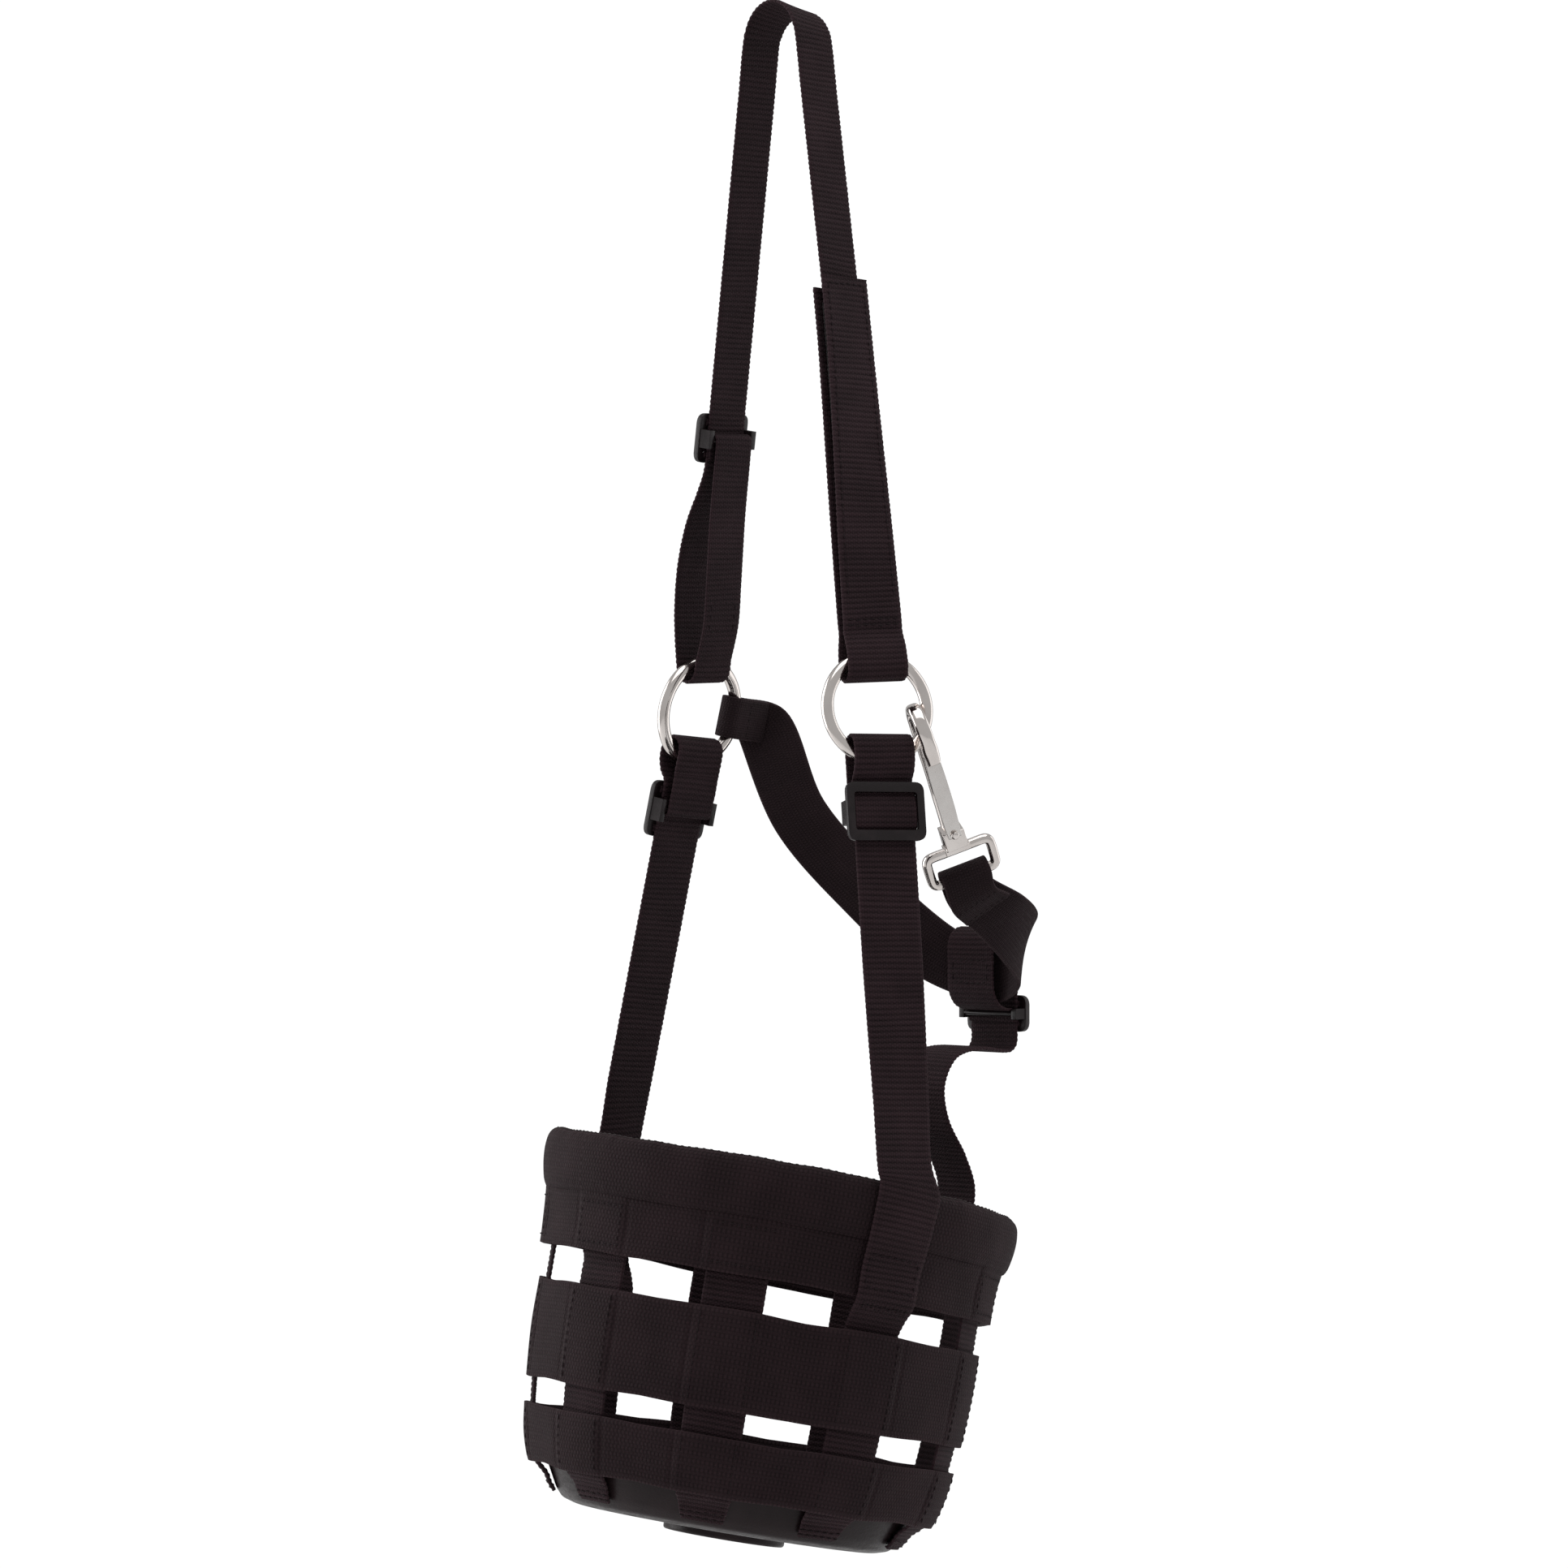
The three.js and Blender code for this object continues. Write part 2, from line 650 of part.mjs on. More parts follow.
function chinSections() {
  const insideRim = ROLL.in - GAP - PLY / 2 - 0.3;
  const strip = [22, 12, 2].map((d) => P(wall(d) + insideRim, -d));
  const curl = smooth(
    [P(-0.9, -473), P(-2.5, -460), P(-8.5, -444), P(-12, -430), P(-7, -419.5), P(6, -417), P(19, -418.5)],
    18,
  );
  const span = (CHIN_BACK - CHIN_FRONT) / 2;
  const free = [
    ...curl,
    ...arc(P(CHIN_BACK - 5, -413.6), 5, -80, 0, 4),
    P(CHIN_BACK, CHIN_TOP - 6),
    ...arc(P(CHIN_BACK - span, CHIN_TOP), span, 0, 180, 8),
    P(CHIN_FRONT, CHIN_TOP - 6),
  ];
  return [
    ...sections(hungPlace(180), strip, WIDE, PLY, THREE_ACROSS),
    ...sections(chin.place, free, WIDE, PLY, THREE_ACROSS),
  ];
}

add("chin_strap", loft(chinSections()), webbing());

function chinReturnPath() {
  const bar = CHIN_BACK + BAR_OUT;
  const leg = [P(CHIN_FRONT, CHIN_TOP - 6.6), P(CHIN_FRONT, -393), P(CHIN_FRONT + 3, -399), P(bar - 3.5, -401.5)];
  const turn = arc(P(bar, CHIN_SLIDER_Z), WRAP_RADIUS, 110, 0, 4);
  return [...smooth(leg, 8), ...turn, P(bar + WRAP_RADIUS, CHIN_SLIDER_Z - 3.5)];
}

add("chin_strap_return", loft(sections(chin.place, chinReturnPath(), WIDE, WRAP)), webbing());
addSlider("chin_slider", chin, CHIN_SLIDER_Z, WIDE, 15, CHIN_BACK);

// ---------------------------------------------------------------- snap hook
// Local frame: x along the eye's bar, y inwards away from the gate, z up the hook.
const SNAP_WIRE = -32; // where on the near ring the hook hangs, in degrees
const SNAP_TURN = 14; // turn about its own length, degrees
const EYE = { wide: 31, tall: 17, rod: 4.2, drop: 60 };
const HOOK = { inner: 6.9, rod: 4.6, drop: -1 };

const snap = new THREE.Group();
snap.position.copy(wirePoint(nearRing, SNAP_WIRE));
const snapUp = V(0.4885, 0.2345, 0.84).normalize();
const snapBar = V(-0.726, 0.642, 0.243).applyAxisAngle(snapUp, radians(SNAP_TURN));
snapBar.addScaledVector(snapUp, -snapBar.dot(snapUp)).normalize();
const snapBack = V(0, 0, 0).crossVectors(snapUp, snapBar);
snap.quaternion.setFromRotationMatrix(new THREE.Matrix4().makeBasis(snapBar, snapBack, snapUp));
muzzle.add(snap);
snap.updateMatrixWorld(true);

// A flat plate in the local y-z plane, as thick as width, about x = 0.
function platedProfile(points, width) {
  const shape = new THREE.Shape(points);
  const geometry = new THREE.ExtrudeGeometry(shape, { depth: width, bevelEnabled: false });
  const axes = new THREE.Matrix4().makeBasis(V(0, 1, 0), V(0, 0, 1), V(1, 0, 0));
  return geometry.applyMatrix4(axes).translate(-width / 2, 0, 0);
}

// Back bar and hook in one: up the back, over the wire and down to the nose.
function hookProfile() {
  const middle = HOOK.inner + HOOK.rod / 2;
  const centre = P(0, -HOOK.drop);
  const line = [P(4.5, -47), P(middle, -36), P(middle, -14), ...arc(centre, middle, 0, 180, 12), P(-middle, -10)];
  const faces = plies(line, HOOK.rod);
  return [...faces.map((f) => f[0]), ...faces.map((f) => f[1]).reverse()];
}

function eyeGeometry() {
  const [x, z, r] = [EYE.wide / 2, EYE.tall / 2, EYE.rod];
  const outline = new THREE.Shape([P(-x, z - 2), P(-x + 2, z), P(x - 2, z), P(x, z - 2)]);
  outline.lineTo(x, 2 - z);
  outline.lineTo(x - 2, -z);
  outline.lineTo(2 - x, -z);
  outline.lineTo(-x, 2 - z);
  outline.holes.push(new THREE.Path([P(r - x, r - z), P(x - r, r - z), P(x - r, z - r), P(r - x, z - r)]));
  const plate = new THREE.ExtrudeGeometry(outline, { depth: r, bevelEnabled: false });
  return plate.rotateX(Math.PI / 2).translate(0, r / 2, -EYE.drop);
}

const block = box(9, 9.5, 8, 0, 1.2, -48.5);
add("snap_body", joined([platedProfile(hookProfile(), HOOK.rod), block, eyeGeometry()]), nickel(), snap);

// The sprung gate: a flat leaf from the block up to the inside of the nose.
const GATE = { thick: 0.9, wide: 6.4, foot: P(-4.6, -46), hinge: P(-4.6, -41), tip: P(-5.2, -7.5) };

function gateProfile() {
  const path = smooth([GATE.foot, GATE.hinge, P(-5.6, -26), GATE.tip], 10);
  const faces = plies(path, GATE.thick);
  return [...faces.map((f) => f[0]), ...faces.map((f) => f[1]).reverse()];
}

add("snap_gate", platedProfile(gateProfile(), GATE.wide), nickel(), snap);

const rivet = new THREE.CylinderGeometry(1.6, 1.6, 1.4, 12).translate(0, GATE.foot.x - GATE.thick / 2 - 1.05, -44.6);
add("snap_rivet", rivet, nickel(), snap);

// ---------------------------------------------------------------- throat strap
// Sewn round the far ring, it hangs rearwards in a bow through the chin loop, comes forward on the
// near side and is sewn round the bottom bar of the snap's eye. Each stop is a point and a width.
const THROAT_WIRE = 3; // where on the far ring it hangs, in degrees
const TAB = 17; // sewn overlap at the ring
const EYE_TAB = 26; // sewn overlap at the snap

function throatStops() {
  const stops = [];
  const radial = wirePoint(farRing, THROAT_WIRE, 1).sub(wirePoint(farRing, THROAT_WIRE)).normalize();
  const tangent = V(0, 0, 0).crossVectors(farRing.normal, radial).normalize();
  if (tangent.z < 0) tangent.negate();
  const ringWidth = 17;
  const onRing = (away, out) =>
    wirePoint(farRing, THROAT_WIRE).addScaledVector(radial, away).addScaledVector(farRing.normal, out);
  const hold = 4.3;
  const seat = -wireDrop(ringWidth);
  stops.push({ at: onRing(TAB, -1.6), wide: tangent, width: ringWidth });
  stops.push({ at: onRing(6, -3.4), wide: tangent, width: ringWidth });
  for (const p of arc(P(seat, 0), hold, -90, -270, 6)) {
    stops.push({ at: onRing(p.x, p.y), wide: tangent, width: ringWidth });
  }
  stops.push({ at: onRing(6, 3.2), wide: tangent, width: ringWidth });
  stops.push({ at: onRing(TAB, 1.6), wide: tangent.clone().add(V(0, 0, 0.1)), width: 22 });

  stops.push({ at: V(-56, -61, -327), wide: V(-0.75, 0.15, 0.62), width: 24 });
  stops.push({ at: V(-78, -49, -357), wide: V(-0.55, 0.35, 0.75), width: WIDE });
  stops.push({ at: V(-97, -28, -381), wide: V(-0.2, 0.2, 0.95), width: WIDE });
  stops.push({ at: V(-105.5, -4, -386.5), wide: V(0, 0, 1), width: WIDE });
  stops.push({ at: V(-102.5, 20, -380), wide: V(-0.1, 0.1, 0.98), width: WIDE });
  stops.push({ at: V(-90, 37, -371), wide: V(-0.3, 0.3, 0.85), width: WIDE });

  const onEye = (y, z) => snap.localToWorld(V(0, y, z));
  const barZ = -EYE.drop - EYE.tall / 2 + EYE.rod / 2;
  const eyeWidth = 20;
  const turn = EYE.rod / Math.SQRT2 + 0.5 + PLY / 2;
  stops.push({ at: onEye(1.3, barZ - EYE_TAB).add(V(-10, 0, 5)), wide: V(-0.5, 0.45, 0.6), width: 24 });
  stops.push({ at: onEye(turn, barZ - 9), wide: snapBar, width: eyeWidth });
  for (const p of arc(P(0, barZ), turn, 0, 180, 6)) stops.push({ at: onEye(p.x, p.y), wide: snapBar, width: eyeWidth });
  stops.push({ at: onEye(-turn + 0.4, barZ - 9), wide: snapBar, width: eyeWidth });
  stops.push({ at: onEye(-1.3, barZ - 18).add(V(-5, 0, 2)), wide: V(-0.6, 0.5, 0.45), width: 22 });
  return stops;
}

// A strap through hand-set stops, each with its own width direction.
function ribbon(stops, thickness, spans) {
  const curve = (points) => new THREE.CatmullRomCurve3(points, false, "centripetal");
  const route = curve(stops.map((s) => s.at));
  const out = [];
  const count = stops.length - 1;
  for (let k = 0; k < count; k++) {
    const long = stops[k].at.distanceTo(stops[k + 1].at) > 8;
    const steps = long ? spans : 1;
    for (let j = 0; j < steps + (k === count - 1 ? 1 : 0); j++) {
      const t = j / steps;
      const u = (k + t) / count;
      const along = route.getTangent(u);
      const wide = stops[k].wide.clone().normalize().lerp(stops[k + 1].wide.clone().normalize(), t);
      wide.addScaledVector(along, -wide.dot(along)).normalize();
      const face = V(0, 0, 0).crossVectors(along, wide);
      const half = THREE.MathUtils.lerp(stops[k].width, stops[k + 1].width, t) / 2;
      const centre = route.getPoint(u);
      const corner = (a, b) =>
        centre
          .clone()
          .addScaledVector(wide, a * half)
          .addScaledVector(face, (b * thickness) / 2);
      out.push([corner(-1, 1), corner(1, 1), corner(1, -1), corner(-1, -1)]);
    }
  }
  return out;
}

add("throat_strap", loft(ribbon(throatStops(), PLY, 3)), webbing());

export default muzzle;
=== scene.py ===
# Grazing muzzle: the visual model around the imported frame. Lengths are in millimetres until a mesh is made.
import math
import random

import bmesh
import bpy
import numpy as np
from mathutils import Matrix, Vector


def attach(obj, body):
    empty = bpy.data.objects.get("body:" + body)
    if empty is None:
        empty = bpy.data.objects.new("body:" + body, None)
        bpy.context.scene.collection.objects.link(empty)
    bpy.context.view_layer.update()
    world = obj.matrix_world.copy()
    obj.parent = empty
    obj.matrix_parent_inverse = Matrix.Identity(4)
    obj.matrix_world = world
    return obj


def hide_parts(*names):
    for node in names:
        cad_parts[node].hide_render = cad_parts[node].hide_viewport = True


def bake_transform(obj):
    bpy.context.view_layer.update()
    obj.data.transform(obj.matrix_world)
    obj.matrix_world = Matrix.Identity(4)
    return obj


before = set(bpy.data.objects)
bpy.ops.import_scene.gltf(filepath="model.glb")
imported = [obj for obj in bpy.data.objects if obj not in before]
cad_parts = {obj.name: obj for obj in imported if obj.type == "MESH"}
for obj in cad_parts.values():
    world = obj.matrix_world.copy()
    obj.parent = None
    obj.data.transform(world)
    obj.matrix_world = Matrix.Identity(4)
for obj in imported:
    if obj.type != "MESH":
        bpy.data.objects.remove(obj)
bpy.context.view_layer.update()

MM = 0.001
random.seed(7)
noise_source = np.random.default_rng(11)

# ---------------------------------------------------------------- dimensions, as in the CAD model unless noted
WIDE = 25.0
NARROW = 20.0
PLY = 1.5
GAP = 0.45
RING_RADIUS = 20.5
RING_WIRE = 5.0
RING_Z = -279.5
SPREAD_TOP = 12.0
SPREAD_SLOPE = 0.182
ARCH_RADIUS = 14.2
RIM_HEIGHT = -464.0
BASKET_TILT = math.radians(11.5)
BASKET_DEPTH = 142.0
BASKET_RADIUS = 88.0  # lengths round the wall are measured on this
RIM_RADIUS = 92.0  # and lengths round the rim on this
SADDLE = 1.5  # only here: the cheek straps pull the rim up by this at the sides
RIM_SLOPE, RIM_SLOPE_AT = 3.6, 325  # only here: the rim also slopes up by this towards that angle
RIM_FADE = 90.0  # both fade out by this depth
STRIP_ANGLES = {
    "front": 8, "front_near": 48, "rear_near": 128, "rear": 168, "rear_far": 208, "side_far": 248, "front_far": 328,
}
NEAR_CHEEK, FAR_CHEEK = 86, 282
TOP_BAND = (21.6, 44.6)  # tucked 2 mm further under the roll than in the CAD model
MID_BAND = (57.6, 95.8)
LOW_BAND = (105.8, 128.6)
CHEEK_SLIDER_Z = -320.0
CROWN_SLIDER_Z = -169.0
CHIN_SLIDER_Z = -403.5
LOOP = 5.1
BAR_OUT = -3.3
BAR_RADIUS = 1.1
WRAP = 0.9
WRAP_RADIUS = BAR_RADIUS + 0.28 + WRAP / 2
FACE = 2.4
RAIL = 3.0
RIB = 2.2  # pitch of the wide webbing's ribs
CROWN_RIB = 2.1
FINE = 1.77  # pitch of the bands' fine ribs
FULL_TURN = 2 * math.pi


def vec(x, y, z):
    return np.array([x, y, z], float)


def unit(v):
    return v / np.linalg.norm(v, axis=-1, keepdims=True)


def spline(points, per_segment=14, knots=None):
    """Centripetal Catmull-Rom through rows of numbers. knots are the columns that set the spacing."""
    p = np.asarray(points, float)
    k = p if knots is None else p[:, knots]
    p = np.vstack([2 * p[0] - p[1], p, 2 * p[-1] - p[-2]])
    k = np.vstack([2 * k[0] - k[1], k, 2 * k[-1] - k[-2]])
    t = np.concatenate([[0], np.cumsum(np.maximum(np.linalg.norm(np.diff(k, axis=0), axis=1), 1e-3) ** 0.5)])
    out = []
    for i in range(1, len(p) - 2):
        last = i == len(p) - 3
        for q in np.linspace(t[i], t[i + 1], per_segment + 1)[: None if last else -1]:
            a = [p[j] + (p[j + 1] - p[j]) * (q - t[j]) / (t[j + 1] - t[j]) for j in (i - 1, i, i + 1)]
            b = [a[j] + (a[j + 1] - a[j]) * (q - t[i - 1 + j]) / (t[i + 1 + j] - t[i - 1 + j]) for j in (0, 1)]
            out.append(b[0] + (b[1] - b[0]) * (q - t[i]) / (t[i + 1] - t[i]))
    return np.array(out)


def by_length(p, step, knots=None):
    """The rows of p again at even steps of length along it."""
    k = p if knots is None else p[:, knots]
    s = np.concatenate([[0], np.cumsum(np.linalg.norm(np.diff(k, axis=0), axis=1))])
    count = max(2, int(round(s[-1] / step)) + 1)
    at = np.linspace(0, s[-1], count)
    return np.stack([np.interp(at, s, column) for column in p.T], 1), at


def arc(centre, radius, start, end, steps):
    angles = np.radians(np.linspace(start, end, steps + 1))
    return [(centre[0] + radius * math.cos(a), centre[1] + radius * math.sin(a)) for a in angles]


def split(points, step):
    out = [points[0]]
    for a, b in zip(points, points[1:]):
        pieces = max(1, round(math.dist(a, b) / step))
        out += [tuple(a[i] + (b[i] - a[i]) * k / pieces for i in range(2)) for k in range(1, pieces + 1)]
    return out


# ---------------------------------------------------------------- places
class Line:
    """A hanging line: stations of (height, x, heading in degrees) from the top down."""

    def __init__(self, stations, down, middle):
        self.z, self.x, self.heading = (np.array(column, float) for column in zip(*stations))
        self.down = unit(down)
        self.middle = middle

    def at(self, z):
        i = int(np.clip(np.searchsorted(-self.z, -z) - 1, 0, len(self.z) - 2))
        t = float(np.clip((self.z[i] - z) / (self.z[i] - self.z[i + 1]), 0, 1))
        turn = t * t * (3 - 2 * t)
        return (
            self.x[i] + (self.x[i + 1] - self.x[i]) * t,
            self.heading[i] + (self.heading[i + 1] - self.heading[i]) * turn,
        )

    def outward(self, z):
        heading = math.radians(self.at(z)[1])
        flat = vec(math.cos(heading), math.sin(heading), 0)
        return unit(flat - self.down * (flat @ self.down))

    def place(self, out, z, across=0.0):
        outward = self.outward(z)
        wide = np.cross(outward, self.down)
        return vec(self.at(z)[0], self.middle(z), z) + outward * out + wide * across


ARCH_END = 0.75 - 0.821 * ARCH_RADIUS
near = Line(
    [(ARCH_END, -4.2, 100.5), (-120, -4.5, 100.5), (RING_Z, -1, 75.5)],
    vec(0, SPREAD_SLOPE, -1),
    lambda z: SPREAD_TOP - SPREAD_SLOPE * z,
)
far = Line(
    [(ARCH_END, 1.2, -79.5), (RING_Z, -1, -78.5)],
    vec(0, -SPREAD_SLOPE, -1),
    lambda z: -(SPREAD_TOP - SPREAD_SLOPE * z),
)
NEAR_LEAN, FAR_LEAN = 0.055, 0.107  # the cheek straps lean towards the nose by this for each millimetre down


def leaning(lean, *stations):
    return [(z, -1 + lean * (RING_Z - z), heading) for z, heading in stations]


near_cheek = Line(
    leaning(NEAR_LEAN, (RING_Z, 75.5), (-365, 75.5), (-452, 88), (-470, 88)),
    vec(NEAR_LEAN, SPREAD_SLOPE, -1),
    near.middle,
)
far_cheek = Line(
    leaning(FAR_LEAN, (RING_Z, -78.5), (-365, -78.5), (-452, -78), (-470, -78)),
    vec(FAR_LEAN, -SPREAD_SLOPE, -1),
    far.middle,
)
chin = Line(
    [(-360, -86, 192), (-412, -86, 192), (-470, -86, 180), (-490, -86, 180)],
    vec(0, 0, -1),
    lambda z: -5 * float(np.clip((-470 - z) / (-470 + 420), 0, 1)),
)


class Ring:
    def __init__(self, line):
        self.normal = line.outward(RING_Z)
        self.up = -line.down
        rear = np.cross(self.normal, self.up)
        self.rear = -rear if rear[0] > 0 else rear
        self.centre = line.place(0, RING_Z)

    def wire(self, degrees, extra=0.0):
        a = math.radians(degrees)
        return self.centre + (RING_RADIUS + extra) * (self.rear * math.cos(a) + self.up * math.sin(a))


near_ring = Ring(near)
far_ring = Ring(far)
WIRE_TOP = RING_Z + RING_RADIUS * near_ring.up[2]
WIRE_BOTTOM = RING_Z - RING_RADIUS * near_ring.up[2]


def wire_drop(width):
    return RING_RADIUS - math.sqrt(RING_RADIUS**2 - (width / 2) ** 2)


tilt_c, tilt_s = math.cos(BASKET_TILT), math.sin(BASKET_TILT)


def to_world(p):
    """Points of the basket's own frame, in the whole object's frame, with the rim out of flat."""
    p = np.asarray(p, float)
    turn = np.arctan2(p[..., 1], p[..., 0])
    reach = np.clip(np.hypot(p[..., 0], p[..., 1]) / BASKET_RADIUS, 0, 1) ** 2
    lift = SADDLE * np.cos(2 * (turn - math.radians(NEAR_CHEEK)))
    lift = lift + RIM_SLOPE * np.cos(turn - math.radians(RIM_SLOPE_AT))
    lift = lift * reach * np.clip(1 + p[..., 2] / RIM_FADE, 0, 1)
    x = p[..., 0] * tilt_c - p[..., 2] * tilt_s
    z = RIM_HEIGHT + p[..., 0] * tilt_s + p[..., 2] * tilt_c + lift
    return np.stack([x, p[..., 1], z], -1)


wall_curve = spline(
    [
        (90.5, -12), (90.5, 8), (88, 32), (87.8, 55), (87.8, 76), (86.2, 101), (83.2, 119.5),
        (79.6, 129.5), (72, 137.5),
    ],
    20,
)


def wall(depth):
    return np.interp(depth, wall_curve[:, 1], wall_curve[:, 0])


def hung(angle):
    def place(radius, height, across=0.0):
        turn = math.radians(angle) + across / BASKET_RADIUS
        return to_world(vec(radius * math.cos(turn), radius * math.sin(turn), height))

    return place


# ---------------------------------------------------------------- meshes
def mesh_object(name, verts, quads, ends, material, loop_uv=None, values=None):
    """A mesh from vertices in millimetres. quads is an array of four indices a row, ends a list of longer faces."""
    verts = np.asarray(verts, float) * MM
    quads = np.asarray(quads)
    a, b, c, d = (verts[quads[:, k]] for k in range(4))
    volume = (np.cross(a, b) * c).sum() + (np.cross(a, c) * d).sum()
    flip = volume < 0
    faces = (quads[:, ::-1] if flip else quads).tolist() + [e[::-1] if flip else list(e) for e in ends]
    me = bpy.data.meshes.new(name)
    me.from_pydata(verts.tolist(), [], faces)
    if loop_uv is not None:
        layer = me.uv_layers.new(name="Weave")
        per_quad = loop_uv[:, ::-1] if flip else loop_uv
        flat = per_quad.reshape(-1, 2)
        full = np.zeros((len(me.loops), 2))
        full[: len(flat)] = flat
        layer.data.foreach_set("uv", full.ravel())
    for key, data in (values or {}).items():
        me.attributes.new(key, "FLOAT", "POINT").data.foreach_set("value", np.asarray(data, np.float32).ravel())
    me.polygons.foreach_set("use_smooth", [True] * len(me.polygons))
    me.materials.append(material)
    ob = bpy.data.objects.new(name, me)
    bpy.context.collection.objects.link(ob)
    return ob


def tube(name, points, material, u, v, values=None, ring=False):
    """A closed skin over rows of points: (rows, outline, 3). u and v are in millimetres; a ring joins its ends."""
    n, m = points.shape[:2]
    rows = n if ring else n - 1
    i, j = np.meshgrid(np.arange(rows), np.arange(m), indexing="ij")
    i, j = i.ravel(), j.ravel()
    i2, j2 = (i + 1) % n, (j + 1) % m
    quads = np.stack([i * m + j, i2 * m + j, i2 * m + j2, i * m + j2], 1)
    u = np.asarray(u, float)
    v = np.asarray(v, float)
    u2 = u[np.minimum(i + 1, len(u) - 1)]
    uv = np.stack([np.stack(corner, 1) for corner in ((u[i], v[j]), (u2, v[j]), (u2, v[j2]), (u[i], v[j2]))], 1)
    ends = [] if ring else [list(range(m))[::-1], list(range((n - 1) * m, n * m))]
    return mesh_object(name, points.reshape(-1, 3), quads, ends, material, uv, values)


FLAT = np.linspace(-0.94, 0.94, 11)
OUTLINE_A = np.concatenate([FLAT, [0.98, 1.0, 0.98], FLAT[::-1], [-0.98, -1.0, -0.98]])
OUTLINE_H = np.concatenate([np.ones(11), [0.75, 0.0, -0.75], -np.ones(11), [-0.75, 0.0, 0.75]])


class Strap:
    """Webbing through rows of (left, middle, right) points, each in millimetres."""

    def __init__(self, rows, thickness=PLY, pitch=RIB, relief=0.42):
        rows = np.asarray(rows, float).reshape(len(rows), 9)
        self.pitch, self.relief, self.thickness = pitch, relief, thickness
        self.rows, self.s = by_length(spline(rows, 14, [3, 4, 5]), pitch / 5, [3, 4, 5])
        self.left, self.mid, self.right = (self.rows[:, k : k + 3] for k in (0, 3, 6))
        self.tangent = unit(np.gradient(self.mid, axis=0))
        self.half = np.linalg.norm(self.right - self.left, axis=1) / 2
        self.length = self.s[-1]

    def surface(self, a):
        """Middle surface and its normal for fractions a of the half width, for every row."""
        a = np.asarray(a, float)[None, :, None]
        half = ((self.right - self.left) / 2)[:, None]
        crown = ((self.right + self.left) / 2 - self.mid)[:, None]
        base = self.mid[:, None] + a * half + a * a * crown
        normal = unit(np.cross(half + 2 * a * crown, self.tangent[:, None]))
        return base, normal

    def build(self, name, material, wobble=1.0):
        base, normal = self.surface(OUTLINE_A)
        s = self.s[:, None]
        drift = wobble * (0.25 * np.sin(s / 17.0) * OUTLINE_A[None] + 0.12 * np.sin(s / 5.3 + 2.0 * OUTLINE_A[None]))
        phase = (s + drift) / self.pitch
        per_rib = noise_source.uniform(0.75, 1.0, int(self.length / self.pitch) + 6)
        rib = (0.5 + 0.5 * np.cos(2 * np.pi * phase)) ** 0.45
        rib = rib * per_rib[np.clip(np.round(phase).astype(int) + 2, 0, len(per_rib) - 1)]
        height = self.thickness / 2 - self.relief * (1 - rib) + 0.08
        points = base + normal * (OUTLINE_H[None] * height)[..., None]
        side = unit(self.right - self.left)[:, None]
        edge = np.clip((np.abs(OUTLINE_A) - 0.9) / 0.1, 0, 1) * np.sign(OUTLINE_A)
        points = points + side * (edge[None] * (rib - 0.5) * self.relief * 0.5)[..., None]
        # rib also drives painted shade in the fabric colour, darker in the rib valleys.
        values = {"rib": rib, "edge": np.broadcast_to(np.abs(OUTLINE_A), rib.shape)}
        v = OUTLINE_A * self.half.mean()
        return tube(name, points, material, self.s, v, values)

    def spot(self, s, across, side=1, lift=0.1):
        """A point on the face, with the directions along, across and out, at a length and a distance across."""
        i = int(np.clip(np.searchsorted(self.s, s), 0, len(self.s) - 1))
        a = across / self.half[i]
        half = (self.right[i] - self.left[i]) / 2
        crown = (self.right[i] + self.left[i]) / 2 - self.mid[i]
        normal = unit(np.cross(half + 2 * a * crown, self.tangent[i])) * side
        point = self.mid[i] + a * half + a * a * crown + normal * (self.thickness / 2 + lift)
        return point, self.tangent[i], unit(half), normal

    def find(self, point):
        """The length at which the middle line is closest to a point."""
        return self.s[int(np.argmin(np.linalg.norm(self.mid - np.asarray(point), axis=1)))]


def rows_from(place, path, width):
    return [[place(o, z, -width / 2), place(o, z, 0), place(o, z, width / 2)] for o, z in path]


BOTH_FACES = (1, -1)  # of a strap, the front first


